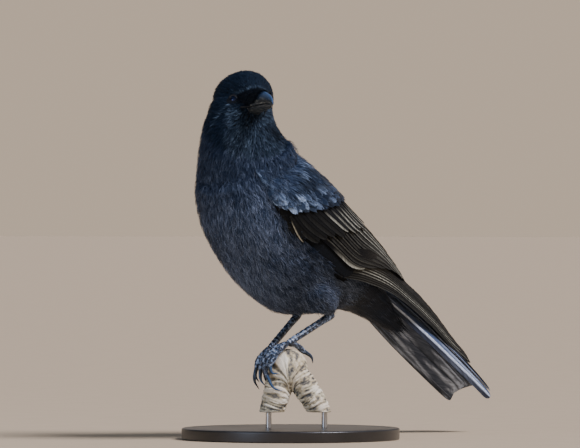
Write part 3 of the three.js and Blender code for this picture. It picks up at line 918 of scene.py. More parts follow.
def wisps(heap, hide, roots, ways, length, width, height, tone, flat):
    """Long loose barbs, each a thin ribbon that curls over the coat."""
    count, rows = len(roots), 6
    v = np.linspace(0, 1, rows)
    turn = draw.normal(0, 0.35, (count, 1)) * v + draw.normal(0, 0.28, (count, 1)) * np.sin(
        2 * math.pi * v + draw.uniform(0, 2 * math.pi, (count, 1)))
    step = (length / (rows - 1))[:, None]
    ahead = np.cumsum(np.cos(turn) * step, axis=1) - step
    aside = np.cumsum(np.sin(turn) * step, axis=1) - np.sin(turn[:, :1]) * step
    _, normals = hide.nearest(roots)
    side = unit(np.cross(ways, normals))
    free = roots[:, None] + ways[:, None] * ahead[..., None] + side[:, None] * aside[..., None]
    at, out = hide.nearest(free)
    at = free + out * dot(at - free, out)
    at = at + out * (height[:, None] * (0.6 + 0.55 * np.sin(math.pi * 0.75 * v)))[..., None]
    along = unit(np.gradient(at, axis=1))
    tilt = draw.uniform(-0.7, 0.7, (count, 1, 1))
    across = unit(np.cross(along, out)) * np.cos(tilt) + out * np.sin(tilt)
    half = (width[:, None] / 2 * (1.03 - v ** 2))[..., None]
    points = np.stack([at - across * half, at + across * half], axis=2)
    faces = grid(rows, 2)[None] + (np.arange(count) * rows * 2)[:, None, None]
    one = np.ones((count, rows, 2))
    # The painted glint grows along each barb.
    pale = one * (tone[0] * draw.uniform(0.5, 1.5, count))[:, None, None] * (0.5 + 0.7 * v)[None, :, None]
    local = pairs(*np.meshgrid(v - 0.5, [-0.5, 0.5], indexing="ij")) * UNWRAP_PATCH
    heap.take(points.reshape(-1, 3), [faces.reshape(-1, 4)],
              vane=pairs(one * 0.2, one * (length[:, None] * v)[..., None]),
              tone=np.clip(pairs(pale, tone[1][:, None, None]), 0, 1),
              OFBake=(flat[:, None] + local).reshape(-1, 2))


# ---------------------------------------------------------------- the body's plumage
def head_light_and_shade(points):
    """How pale the head's feathers are: painted highlight along the brow over painted shade below it, a fine
    streak of painted highlight behind each eye, and painted light on the lower cheek.
    """
    arm = points - EYES_MIDDLE
    forward, side, up = arm @ HEAD_FORWARD, np.abs(arm @ HEAD_LEFT), arm @ HEAD_UP
    brow_height = 9.2 - 12 * (side / 20) ** 2
    over = up - brow_height
    in_front = ease(forward, -9, -2)
    brow = peak(over, 1.2, 1.1) * in_front
    shade_below_brow = (1 - ease(over, -1.0, 0.6)) * in_front * (1 - ease(-up, 3, 8))
    # The painted highlight streak runs down the cheek just outside the eye.
    outside = side * (HEAD_LEFT @ ALONG) - forward * (HEAD_FORWARD @ ALONG)
    streak = peak(outside, 20.6, 1.7) * ease(forward, -22, -14) * ease(-up, 0, 5) * (1 - ease(-up, 19, 27))
    cheek = ease(-up, 6, 14) * ease(forward, -26, -6) * (1 - ease(outside, 21, 24))
    return 0.028 + 0.20 * brow + 0.20 * streak + 0.14 * cheek, np.clip(shade_below_brow, 0, 1)


# Where the coat is painted darker than round it, as painted shade, or paler, as painted light: the place
# from the feet as along the perch, out from it and up, how far that reaches in mm, and by what share.
COAT_LIGHT_AND_SHADE = [
    ((-25, 46, 163), 19, -0.75), ((-13, 58, 117), 26, 0.45), ((6, 60, 116), 12, -0.65),
    ((20, 50, 66), 22, -0.6), ((-36, 40, 54), 22, 1.3), ((-72, 14, 136), 26, -0.75),
    ((-60, 26, 96), 17, -0.45), ((2, 40, 168), 12, 0.35), ((-44, 44, 128), 15, 0.3),
    ((-62, 2, 200), 15, -0.7), ((-4, 52, 190), 9, -0.9), ((-56, 24, 180), 18, 1.6),
]


def coat_light_and_shade_at(points):
    """How pale the coat is painted at each point: above 1 is painted light, below 1 painted shade, and 1
    where it is plain.
    """
    share = np.ones(len(points))
    for place, reach, amount in COAT_LIGHT_AND_SHADE:
        share += amount * np.exp(-np.sum((points - on_perch(*place)) ** 2, axis=1) / reach ** 2)
    return np.clip(share, 0.12, 2.4)


EYE_FRONT = 5.4  # from the middle of the eyeball to the middle of its opening
BARE_RING = 4.9  # no feather reaches nearer to the middle of the opening
ROOT_RING = 4.2  # and behind the eye none is rooted nearer to it


def from_eye(points):
    """How far each point is from the middle of the nearer eye's opening."""
    fronts = [EYE_AT[name] + EYE_FRONT * EYE_LOOK[name] for name in EYE_AT]
    return np.minimum(*[np.linalg.norm(points - front, axis=1) for front in fronts])


def clear_of_eyes(roots, way, length):
    """Lengths cut so that no feather reaches over an eye."""
    cut = length.copy()
    for share in (0.75, 0.5, 0.3):
        too_long = from_eye(roots + way * cut[:, None]) < BARE_RING
        cut = np.where(too_long, length * share, cut)
    return cut


def body_plumage(hide, on_face, on_body):
    """Every feather outside the wings and tail, in pieces of less than 200,000 triangles."""
    roots, normals = hide.scatter(ROOTS_TRIED)
    reach, turn, way = lie_of_coat(roots, normals)
    t, q = wing_place(roots)
    leg, down = leg_share(roots)
    low_edge = -0.93 - 0.14 * ease(t, 0.40, 0.52)
    covered = (q > low_edge) & (q < 0.74) & (t > 0.085) & (t < 0.97) & (wing_apart(roots, t, q) < 15)
    # The cone under the tail's root has feathers of its own.
    aft = (roots - TRUNK_MIDDLE) @ AFT
    covered |= (aft > RUMP_END) | ((aft > RUMP_END - 14) & (normals @ DORSAL < 0.2))
    in_eye = (from_eye(roots + 1.2 * way) < BARE_RING) | (from_eye(roots) < ROOT_RING)
    in_bill = ((roots - EYES_MIDDLE) @ HEAD_FORWARD > 13.5) & (np.linalg.norm(roots - BILL_ROOT, axis=1) < 9)
    # Sizes in mm by the distance from the bill: length, width, and how far the feathers stand apart.
    marks = [0, 8, 24, 45, 75, 120, 170, 240, 300, 340]
    sizes = [np.interp(reach, marks, values) for values in (
        [2.8, 3.6, 5.6, 8.0, 10.5, 13.0, 15.5, 19.0, 26.0, 30.0],
        [1.3, 1.6, 2.2, 3.0, 4.0, 5.2, 6.2, 7.2, 9.5, 10.0],
        [0.95, 1.1, 1.4, 1.7, 1.95, 2.25, 2.55, 2.9, 3.6, 3.9])]
    shin = [np.interp(down, [0.4, 1], values) for values in ([16, 11], [5.0, 3.0], [2.4, 1.4])]
    sizes = [size * (1 - leg) + small * leg for size, small in zip(sizes, shin)]
    keep = np.flatnonzero(~(covered | in_eye | in_bill))
    keep = keep[thinned(roots[keep], sizes[2][keep])]
    roots, normals, reach, turn, way, t, q, leg, down = [
        value[keep] for value in (roots, normals, reach, turn, way, t, q, leg, down)]
    length, width = sizes[0][keep], sizes[1][keep]
    count = len(keep)

    # Feathers point down the shins, and sweep out over the bend of each wing.
    outward = LEFT * np.sign(roots[:, :1])
    shin_way = (ANKLE - KNEE) * np.concatenate([np.sign(roots[:, :1]), np.ones((count, 2))], axis=1)
    way = unit(way * (1 - leg)[:, None] + unit(shin_way) * leg[:, None])
    bend_of_wing = peak(t, 0.03, 0.10) * peak(q, -1.6, 0.9)
    way = unit(way + outward * (0.45 * bend_of_wing)[:, None] + draw.normal(0, 0.10, way.shape))
    way = unit(way - normals * dot(way, normals))

    length = length * draw.uniform(0.82, 1.18, count)
    width = width * draw.uniform(0.85, 1.15, count)
    length = clear_of_eyes(roots, way, length)
    # Feathers on the lower back, between the folded wings, are short.
    length = length * (1 - 0.6 * ((q > 0.7) & (t > 0.3) & (t < 1)))
    depth = coat_depth(reach, leg, down)
    # Their tips lie close beside the wings, and where the shoulder meets the neck.
    close = np.maximum(under_wing(roots, t, q), peak(t, 0.10, 0.06) * peak(q, 0.9, 0.25))
    tip = depth * draw.uniform(0.7, 1.15, count) * (1 - 0.75 * close)
    bend = draw.normal(0, 0.10, count)
    front = np.abs(turn) / math.pi  # 0 on the back, 1 on the breast
    on_head = 1 - ease(reach, 42, 60)
    face_pale, shade_below_brow = head_light_and_shade(roots + way * (length * 0.75)[:, None])
    # Each feather's pale is painted glint on its barbs: more on the breast than on the back, and on the
    # shins more towards the ankle.
    pale = np.interp(reach, [45, 75, 100, 140, 200, 330], [0.06, 0.10, 0.16, 0.21, 0.20, 0.16])
    pale = pale * (0.35 + 0.75 * front) * (1 - on_head) + face_pale * on_head
    pale = pale + 0.16 * leg * ease(down, 0.4, 0.9)
    share = coat_light_and_shade_at(roots)
    unlike = draw.normal(0, 1, count) * np.interp(reach, [30, 110], [0.3, 0.6])
    pale = pale * share * np.exp(unlike) * (1 - shade_below_brow)
    blue = np.interp(reach, [0, 45, 110, 240, 330], [0.7, 0.75, 0.8, 0.7, 0.5]) * (1 - 0.9 * shade_below_brow)
    blue = blue * np.clip(share, 0.3, 1.25)
    flat = unwrap(reach, turn)

    total = 0
    for label, chosen, plan, material in (
            ("head", reach < 45, plume_pattern(3), on_face),
            ("neck", (reach >= 45) & (reach < 95), plume_pattern(4), on_body),
            ("body", reach >= 95, plume_pattern(7), on_body)):
        index = np.flatnonzero(chosen)
        index = index[np.argsort(reach[index])]
        pieces = max(1, math.ceil(len(index) * plan.triangles() / PIECE_LIMIT))
        for part, some in enumerate(np.array_split(index, pieces)):
            heap = Heap()
            lay(heap, plan, hide, roots[some], way[some], length[some], width[some],
                (np.full(len(some), -0.4), tip[some]), 0.3, bend[some], (pale[some], blue[some]), flat[some])
            heap.piece(f"plumage_{label}_{part + 1}", material, "plumage")
        total += len(index) * plan.triangles()

    # Loose barbs over the neck, breast, belly and shins, painted paler than the vanes under them as glints
    # of light on the barbs.
    chance = ease(reach, 12, 60) * (0.25 + 0.75 * front) * (from_eye(roots) > 12)
    chance = chance / (np.maximum(sizes[2][keep], 1.6) ** -2)
    index = draw.choice(count, WISPS, p=chance / chance.sum())
    for part, some in enumerate(np.array_split(index[np.argsort(reach[index])], 2)):
        jitter = draw.normal(0, 1.8, (len(some), 3))
        n = normals[some]
        start = roots[some] + jitter - n * dot(jitter, n) + way[some] * (length[some] * 0.4)[:, None]
        flown = unit(way[some] + draw.normal(0, 0.18, (len(some), 3)))
        heap = Heap()
        wisps(heap, hide, start, flown, length[some] * draw.uniform(0.35, 0.65, len(some)),
              np.interp(reach[some], [20, 90], [0.22, 0.36]) * draw.uniform(0.7, 1.3, len(some)),
              depth[some] * draw.uniform(0.75, 1.15, len(some)),
              (np.clip(pale[some] * 1.6 + 0.08 * ease(reach[some], 30, 110) * coat_light_and_shade_at(start), 0, 0.8),
               blue[some]), flat[some])
        heap.piece(f"plumage_loose_barbs_{part + 1}", on_body, "plumage")
    print("body plumage:", count, "feathers,", total + WISPS * WISP_TRIANGLES, "triangles")


# ---------------------------------------------------------------- wing coverts
COVERT_ROWS = 12
LOOSE_ROWS = 8  # the first rows are frayed, and the rest are closed scales
COVERT_EDGE = ([-1, -0.75, -0.4, 0.0, 0.3, 1.0], [0.10, 0.165, 0.25, 0.355, 0.41, 0.43])
WING_LENGTH = 242  # mm in one unit of t


def covert_edge(q):
    """How far back along the wing its small coverts reach, at each height on it."""
    return np.interp(q, *COVERT_EDGE)


def covert_rows():
    """Row, tip, height, length and width of each small covert."""
    found = []
    for row in range(COVERT_ROWS):
        share = ((row + 1) / COVERT_ROWS) ** 0.92
        last = row == COVERT_ROWS - 1
        q = -0.985 + 0.05 * (row % 2)
        while q < 0.97:
            edge = covert_edge(q)
            gap = edge * WING_LENGTH / COVERT_ROWS
            width = (4.6 + 0.62 * gap) * (1.25 if last else 1.0)
            found.append((row, edge * share, q, 5.0 + 2.3 * gap + (4 if last else 0), width))
            q += 0.55 * width / wing_scales(np.array(max(edge * share, 0.03)), np.array(min(q, 0.9)))[1]
    return np.array(found).T


def wing_coverts(side, name, material):
    """The small coverts of one wing, laid from the bend back like tiles, looser and finer near the bend."""
    row, t, q, length, width = covert_rows()
    count = len(t)
    last = row == COVERT_ROWS - 1
    share = t / covert_edge(q)
    # The coverts' pale is painted glint: more on the lower part of the wing, less in patches of painted
    # shade, and strong on about a third of them as painted sheen, while the rest of the last row is darkened
    # as painted shade.
    low_part = 1 - ease(q, -0.5, -0.2)
    shade_patch = peak(q, -0.15, 0.25) * peak(share, 0.62, 0.25)
    shade_patch += 0.9 * peak(q, 0.42, 0.12) * peak(share, 0.8, 0.2)
    shade_patch += 0.8 * peak(q, -0.62, 0.10) * peak(share, 0.55, 0.3)
    pale = (0.07 + 0.08 * low_part + np.where(last, 0.02 + 0.08 * low_part, 0)) * (1 - 0.85 * shade_patch)
    painted_sheen = draw.random(count) < 0.3
    pale = pale * np.where(painted_sheen, np.where(last, 1.8, 2.6), 0.5) * np.exp(draw.normal(0, 0.5, count))
    blue = (0.95 - 0.8 * shade_patch) * np.where(painted_sheen, 1.0, draw.uniform(0.25, 0.9, count))
    in_gloom = np.where(last & ~painted_sheen, 0.3, 1.0)
    pale, blue = pale * in_gloom, blue * in_gloom
    # Each covert's pale rim is painted highlight.
    rim = 0.17 * in_gloom * draw.uniform(0.1, 1.9, count)
    t = t + draw.normal(0, 0.005, count)
    q = q + draw.normal(0, 0.012, count)
    length = length * draw.uniform(0.88, 1.14, count)
    width = width * draw.uniform(0.88, 1.14, count)
    mirror = vec(side, 1, 1)
    reach, turn, _ = place_on_body(on_wing(np.clip(t, 0, 1), np.clip(q, -1, 1)) * mirror)
    flat = unwrap(reach, turn)
    heap = Heap()
    for chosen, plan in ((row < LOOSE_ROWS, plume_pattern(5)), (row >= LOOSE_ROWS, scale_pattern(6, 7))):
        i = np.flatnonzero(chosen)
        across, along, loose, strand = plan.parts()
        stray = draw.normal(0, 1, (len(i), strand.max() + 1, 3))[:, strand] * loose[:, None]
        along_mm = (along - 1 + 0.14 * stray[..., 0]) * length[i, None]
        across_mm = (across + 0.22 * stray[..., 1]) * width[i, None] / 2
        lean = draw.normal(-0.05, 0.11, (len(i), 1))
        scale_t, scale_q = wing_scales(np.clip(t[i], 0.03, 0.97), np.clip(q[i], -0.9, 0.9))
        there_t = t[i, None] + (along_mm * np.cos(lean) - across_mm * np.sin(lean)) / scale_t[:, None]
        there_q = q[i, None] + (along_mm * np.sin(lean) + across_mm * np.cos(lean)) / scale_q[:, None]
        tip = draw.normal(0.2, 0.3, (len(i), 1))
        rise = -2.6 + (2.6 + tip) * along ** 0.8 + 0.45 * (1 - across ** 2) + 0.3 * stray[..., 2]
        points = on_wing(np.clip(there_t, -0.02, 1), np.clip(there_q, -1.08, 1.0), rise) * mirror
        shades = draw.normal(0, 1, (len(i), strand.max() + 1))[:, strand]
        edge = np.clip((np.abs(across) - 0.75) / 0.25, 0, 1) + np.clip((along - 0.9) / 0.1, 0, 1)
        light = pale[i, None] * (0.2 + 0.95 * along) * np.exp(0.6 * shades)
        light = light + rim[i, None] * np.clip(edge, 0, 1) * along ** 2
        faces = plan.copies(len(i))
        heap.take(points.reshape(-1, 3), [some[:, ::-1] for some in faces] if side > 0 else faces,
                  vane=pairs(across_mm, along_mm + length[i, None]),
                  tone=np.clip(pairs(light, blue[i, None] + 0.08 * shades), 0, 1),
                  OFBake=(flat[i, None] + patch(across, along)).reshape(-1, 2))
    heap.piece(name, material, "plumage")


# ---------------------------------------------------------------- quills
STRIPS = 48  # how many quills share one unwrap, each in its own strip


class Quill:
    """How a flight or tail feather looks: its webs in mm, its end, and its tones."""
    pale, blue, under = 0.06, 0.25, 0.3
    # The pale edge of the outer web is a painted highlight, beginning at edge_from across the web and
    # edge_start along it; the glints on the vanes are painted highlight too.
    edge, edge_from, edge_start = 0.3, 0.45, 0.1
    shaft, shaft_reach = 0.12, 0.08
    rows, tip, wear, thick, tilt = 44, 0.16, 0.25, 0.3, 0.12
    waves, outer_web = 0.0, 1.0

    def __init__(self, outer, inner, lift, **look):
        self.outer, self.inner, self.lift = outer, inner, lift
        for key, value in look.items():
            setattr(self, key, value)


QUILL_COLUMNS = vec(-1, -0.72, -0.4, -0.14, -0.07, 0.0, 0.04, 0.09, 0.22, 0.36, 0.5, 0.64, 0.78, 0.9, 1.0)


def glints(mm, along):
    """Wavy bright lines that run down a vane, mm from its shaft and mm along it."""
    light = np.zeros_like(mm)
    for spacing in (2.6, 5.6, 9.0, 12.0):
        wander, fade = draw.uniform(0, 2 * math.pi, 2)
        line = spacing + 1.1 * np.sin(along / 11 + wander) + 0.5 * np.sin(along / 4.3 + 2 * wander)
        light += peak(np.abs(mm), line, 0.9) * np.clip(0.25 + np.sin(along / 15 + fade), 0, 1)
    return light


def add_quill(heap, place, span, look, number):
    """A closed thin vane with a raised shaft between a narrow outer and a wide inner web.

    place(v, mm, lift) is a point at v from root to tip, mm from the shaft with the outer web negative, and
    raised by lift.
    """
    rows, columns = look.rows, len(QUILL_COLUMNS)
    v = 1 - (1 - np.linspace(0, 1, rows)) ** 1.35
    v, u = np.meshgrid(v, QUILL_COLUMNS, indexing="ij")
    end = np.clip((v - (1 - look.tip)) / look.tip, 0, 1)
    taper = np.sqrt(np.clip(1 - end ** 2.2, 0.0004, 1)) * (0.55 + 0.45 * ease(v, 0, 0.2))
    width = np.where(u < 0, look.outer * (0.75 + 0.25 * ease(v, 0.1, 0.6)), look.inner)
    notch = np.clip(draw.normal(0, 1, (rows, 2)) - 1.1, 0, 1.2) * look.wear
    worn = np.where(np.abs(u) > 0.9, np.where(u < 0, notch[:, :1] * 0.35, notch[:, 1:]), 0)
    mm = np.sign(u) * np.maximum(np.abs(u) * width * taper - worn, 0.04 * np.abs(u))
    on_shaft = (u > -look.shaft_reach) & (u < 0.08)
    crest = np.abs(u) < 0.03
    camber = 0.3 * (1 - u ** 2) * np.minimum(1, width / 8)
    shaft = np.where(crest, 0.4 * (1 - 0.7 * v), 0)
    # Each vane leans, so that its outer web lies over the inner web of the next one down.
    lift = look.lift[0] + (look.lift[1] - look.lift[0]) * v - look.tilt * mm
    top = place(v, mm, lift + camber + shaft).reshape(-1, 3)
    low = place(v, mm, lift + camber - look.thick * (1 - 0.9 * np.abs(u) ** 4) - shaft * 0.8).reshape(-1, 3)
    count = rows * columns
    quads = grid(rows, columns)
    here = np.arange(rows) * columns
    rim = np.concatenate([here, count - columns + np.arange(1, columns), (here[::-1] + columns - 1)[1:],
                          np.arange(columns)[::-1][1:]])
    walls = np.stack([rim[:-1], rim[1:], rim[1:] + count, rim[:-1] + count], axis=1)
    # The pale outer edge and the glints are painted highlight; the glints also paint the under face.
    light = look.pale + look.edge * ease(-u, look.edge_from, look.edge_from + 0.3) * ease(
        v, look.edge_start, look.edge_start + 0.25)
    wave = glints(mm, v * span) * look.waves * ease(v, 0.1, 0.4) if look.waves else 0
    web = np.where(u < -0.1, look.outer_web, 1)
    light = np.where(on_shaft, look.shaft, (light + 0.3 * wave) * web)
    below = np.where(crest, 0.55, look.under * (1 - 0.35 * ease(-u, 0.2, 0.9)) + wave)
    blue = look.blue * web
    tone = np.concatenate([pairs(light, blue), pairs(below, blue * 0.4)])
    vane = np.tile(pairs(mm, v * span + number * 13), (2, 1))
    # The upper and the under face lie side by side in the quill's own strip.
    strip = pairs(0.02 + 0.96 * v, (number + 0.25 + 0.2 * u) / STRIPS)
    points = np.concatenate([top, low])
    faces = facing_out(points, [np.concatenate([quads[:, ::-1], quads + count, walls])])
    heap.take(points, faces, vane=vane, tone=np.clip(tone, 0, 1),
              OFBake=np.concatenate([strip, strip + vec(0, 0.5 / STRIPS)]))


def wing_strip(mirror, root, tip, bend=0.0):
    """A way to place a quill on the wing between two of its places, each given as t and q."""
    def place(v, mm, lift):
        t = root[0] + (tip[0] - root[0]) * v
        q = root[1] + (tip[1] - root[1]) * v + bend * np.sin(math.pi * v)
        across = wing_scales(np.clip(t, 0.03, 0.97), np.clip(q, -0.9, 0.9))[1]
        return on_wing(t, np.clip(q + mm / across, -1.12, 1.2), lift) * mirror
    return place


# For each secondary from the innermost, on top, to the outermost: where its tip lies as t and q, and how
# pale its painted edge highlight is.
SECONDARY_TIPS = [
    (0.70, 0.60, 0.4), (0.79, 0.42, 0.5), (0.86, 0.24, 0.7), (0.90, 0.10, 0.85), (0.92, 0.0, 0.8),
    (0.90, -0.09, 0.55), (0.87, -0.18, 0.25), (0.83, -0.27, 0.1), (0.79, -0.36, 0.05), (0.74, -0.44, 0.04),
    (0.68, -0.52, 0.05), (0.61, -0.62, 0.6)]
GREATER_HEIGHTS = [0.86, 0.72, 0.58, 0.46, 0.35, 0.25, 0.15, 0.05, -0.05, -0.16, -0.28, -0.41, -0.54, -0.67,
                   -0.80, -0.92]


def secondaries(heap, mirror):
    last = len(SECONDARY_TIPS) - 1
    for k, (t_tip, q_tip, edge) in enumerate(SECONDARY_TIPS):
        q_root = 0.80 - 1.58 * k / last
        t_root = covert_edge(q_root) - 0.08
        strip = wing_strip(mirror, (t_root, q_root), (t_tip, q_tip), 0.05)
        low = -1.5 - 0.2 * k
        look = Quill(4.2, 11.0, (low - 1.6, low + 0.9), pale=0.0, blue=0.05, edge=edge,
                     edge_from=0.4, tip=0.12, wear=0.35)
        if k == last:
            look.tip, look.edge_start, look.edge_from = 0.2, 0.6, 0.25
        add_quill(heap, strip, (t_tip - t_root) * WING_LENGTH, look, k)
    return last + 1


def greater_coverts(heap, mirror, number):
    for k, q in enumerate(GREATER_HEIGHTS):
        edge_t = covert_edge(q)
        tip_t = edge_t + 0.165 + 0.012 * math.sin(k * 2.4)
        strip = wing_strip(mirror, (edge_t - 0.07, q + 0.02), (tip_t, q), -0.02)
        # The inner ones carry a painted highlight along their edges.
        inner = q > -0.30
        webs = (3.6, 7.0) if inner else (4.4, 8.5)
        look = Quill(*webs, (-2.9 - 0.04 * k, -0.15 - 0.06 * k), pale=0.01,
                     blue=0.15 if inner else 0.05, edge=0.5 + 0.15 * math.sin(k * 1.9) if inner else 0.02,
                     edge_from=0.25, edge_start=0.3, shaft=0.01, rows=22, tip=0.3)
        add_quill(heap, strip, 60, look, number + k)
    # The lowest one has a white painted highlight along its edge, and lies on top.
    look = Quill(1.3, 3.0, (0.2, 0.5), pale=0.02, blue=0.1, edge=1.0, edge_from=0.1, rows=22, tip=0.3,
                 tilt=0)
    number += len(GREATER_HEIGHTS)
    add_quill(heap, wing_strip(mirror, (0.165, -0.90), (0.275, -0.97)), 27, look, number)
    return number + 1


# The leading edge of the folded hand, as aft, up and left on the trunk, and how it stands there.
LEADING_EDGE = vec(
    [-40, -19, 49], [0, -22, 51.5], [35, -19, 50.5], [65, -5, 48.5], [111, 14, 38], [150, 22.5, 31.5],
    [190, 27, 25.5], [225, 28.5, 20.5], [262, 34, 12.5])


def hand_place(mirror, root, tip, low, high):
    """A way to place a primary along the leading edge, low mm above it at the root, high at the tip."""
    def place(v, mm, lift):
        t = root + (tip - root) * v
        edge = smooth(LEADING_EDGE, t)
        ahead = step_along(LEADING_EDGE, t)
        ahead = unit(ahead[..., :1] * AFT + ahead[..., 1:2] * DORSAL + ahead[..., 2:] * LEFT)
        inward = ease(t, 0.3, 0.62)[..., None]
        up = (DORSAL * 0.99 + LEFT * 0.12) * (1 - inward) + (DORSAL * 0.87 - LEFT * 0.5) * inward
        up = unit(up - ahead * dot(up, ahead))
        out = np.cross(ahead, up)
        out = out * np.sign(dot(out, LEFT))
        above = low + (high - low) * v + mm
        point = on_trunk(edge[..., 0], edge[..., 1], edge[..., 2])
        return (point + up * above[..., None] + out * lift[..., None]) * mirror
    return place


# For each primary from the leading one up: where it ends along the edge, how far above it, and how pale
# its painted edge highlight is.
PRIMARY_TIPS = [(0.945, 1.2, 0.1), (0.985, 1.6, 0.08), (1.0, 2.2, 0.06), (0.985, 3.6, 0.4), (0.93, 6.0, 0.7),
                (0.875, 8.0, 0.45), (0.82, 9.5, 0.15), (0.77, 11.0, 0.1), (0.72, 12.0, 0.05)]


def primaries(heap, mirror, number):
    for k, (tip, high, edge) in enumerate(PRIMARY_TIPS):
        root = 0.10 + 0.02 * k
        place = hand_place(mirror, root, tip, 1.5 + 2.4 * k, high)
        look = Quill(2.2, 8.5, (-2.4 + 0.3 * k, -2.0 + 0.3 * k), pale=0.006, blue=0.1, edge=edge,
                     edge_from=0.5, shaft=0.05, rows=56, tip=0.12, tilt=0.06, wear=0.4)
        add_quill(heap, place, (tip - root) * 310, look, number + k)


def make_wing(side, name, material):
    heap = Heap()
    mirror = vec(side, 1, 1)
    number = secondaries(heap, mirror)
    number = greater_coverts(heap, mirror, number)
    primaries(heap, mirror, number)
    heap.piece(f"quills_{name}", material, "plumage", [f"wing_{name}", f"primaries_{name}"])


# ---------------------------------------------------------------- tail
TAIL_ROOF = vec(
    [104, 12, 10], [112, 15, 16], [140, 20, 21], [185, 23.5, 22.5], [230, 25, 21], [272, 26, 17.5],
    [292, 25, 15.5])
TAIL_RISE = 16
TAIL_ROLL = math.radians(6)  # the tail is tipped over to the crow's right
RECTRIX_TURNS = [84, 70, 57, 45, 33, 0]  # degrees round the arch, from the middle feather to the outermost
RECTRIX_ENDS = [0.99, 1.0, 0.995, 0.985, 0.975, 0.965]


def tail_place(side, turn_at, end):
    """A way to place a feather on the closed tail, which is arched like a roof."""
    def place(v, mm, lift):
        aft, half, high = np.moveaxis(smooth(TAIL_ROOF, end * v), -1, 0)
        arc = np.sqrt((half * np.sin(turn_at)) ** 2 + (high * np.cos(turn_at)) ** 2)
        turn = turn_at + side * TAIL_ROLL + mm / arc
        return on_trunk(aft, TAIL_RISE + (high + lift) * np.sin(turn),
                        (half + lift) * np.cos(turn)) * vec(side, 1, 1)
    return place


def make_tail(material):
    """Twelve tail feathers, the middle pair on top."""
    heap = Heap()
    number = 0
    for k, (turn, end) in enumerate(zip(RECTRIX_TURNS, RECTRIX_ENDS)):
        for side in (1, -1):
            # The middle feathers are plain and dark; the outer ones carry the painted glints and a stronger
            # blue, partly painted sky reflection.
            low = -0.3 - 0.5 * k
            webs = (5.0, 13.5) if k else (9.0, 9.0)
            blue, waves = (0.5, 2.0) if k > 3 else (0.3, 0.5)
            look = Quill(*webs, (low, low), pale=0.02, blue=blue, edge=0.10, under=0.16, shaft=0.12,
                         rows=60, tip=0.10, wear=0.5, waves=waves)
            if k == len(RECTRIX_TURNS) - 1:
                # The outermost one shows the most: a broad web painted blue as a painted sky reflection, a
                # shaft painted white as a painted highlight, and a narrow brown web.
                look.outer, look.pale, look.blue, look.shaft, look.outer_web = 6.5, 0.12, 0.9, 1.0, 0.15
                look.shaft_reach = 0.15
            add_quill(heap, tail_place(side, math.radians(turn), end), 180, look, number)
            number += 1
    heap.piece("tail_feathers", material, "plumage", ["tail"])


# The cone of soft feathers under the tail's root: at even steps back from its start on the trunk, how far
# up its middle is, its half width, and how far down it reaches.
RUMP_START, RUMP_LENGTH = 78, 96
RUMP_CONE = vec([6, 33.5, 31], [11.5, 27, 22.5], [14.4, 20, 16.5], [15.5, 14.5, 12], [16, 10.5, 7.5])
RUMP_END = 118


def under_tail(aft, turn, lift):
    """A point on that cone. turn is from straight down, to the left."""
    up, half, deep = np.moveaxis(smooth(RUMP_CONE, (aft - RUMP_START) / RUMP_LENGTH), -1, 0)
    return on_trunk(aft, up - (deep + lift) * np.cos(turn), (half + lift) * np.sin(turn))


def undertail_coverts(material):
    """Long soft feathers in rows under the root of the tail, each black with a blue-grey edge of painted
    highlight.
    """
    heap = Heap()
    plan = plume_pattern(9)
    across, along, loose, strand = plan.parts()
    for row in range(8):
        tip = 112 + 9.5 * row
        half = float(smooth(RUMP_CONE[:, 1], (tip - RUMP_START) / RUMP_LENGTH))
        width = 13.0 - 0.5 * row
        step = 0.55 * width / half
        reach = 1.75 - 0.06 * row
        for turn in np.arange(-reach + step / 2 * (row % 2), reach, step):
            stray = draw.normal(0, 1, (strand.max() + 1, 3))[strand] * loose[:, None]
            length = draw.uniform(30, 38)
            along_mm = (along - 1 + 0.10 * stray[:, 0]) * length + draw.normal(0, 1.5)
            across_mm = (across + 0.16 * stray[:, 1]) * width / 2 + draw.normal(0, 0.8)
            rise = -2.0 + 2.6 * along ** 0.8 + 0.5 * (1 - across ** 2) + 0.4 * stray[:, 2]
            aft = tip + along_mm
            points = under_tail(aft, turn + across_mm / half, rise)
            # The pale edge and tip are painted highlight.
            edge = np.clip((np.abs(across) - 0.6) / 0.4, 0, 1) + np.clip((along - 0.8) / 0.2, 0, 1)
            light = (0.015 + 0.28 * draw.random() ** 2 * np.clip(edge, 0, 1)) * (0.5 + along)
            tone = pairs(light, draw.uniform(0.1, 0.6))
            flat = vec(0.9 + 0.09 * row / 8, 0.5 + 0.15 * turn)
            heap.take(points, plan.copies(1), vane=pairs(across_mm, along_mm + length),
                      tone=np.clip(tone, 0, 1), OFBake=flat + patch(across, along))
    heap.piece("undertail_coverts", material, "plumage")


# ---------------------------------------------------------------- head pieces
EYE_RADIUS = 6.5
LID_OPENING = 4.0  # the eye shows this far round its middle


def eye_points(name, tilt, turn, radius):
    """Points round an eye: tilt from the way it looks, and turn round that."""
    look = EYE_LOOK[name]
    east = unit(np.cross(UP, look))
    north = np.cross(look, east)
    aside = east * np.cos(turn)[..., None] + north * np.sin(turn)[..., None]
    ray = look * np.cos(tilt)[..., None] + aside * np.sin(tilt)[..., None]
    return (EYE_AT[name] + ray * radius[..., None]).reshape(-1, 3)


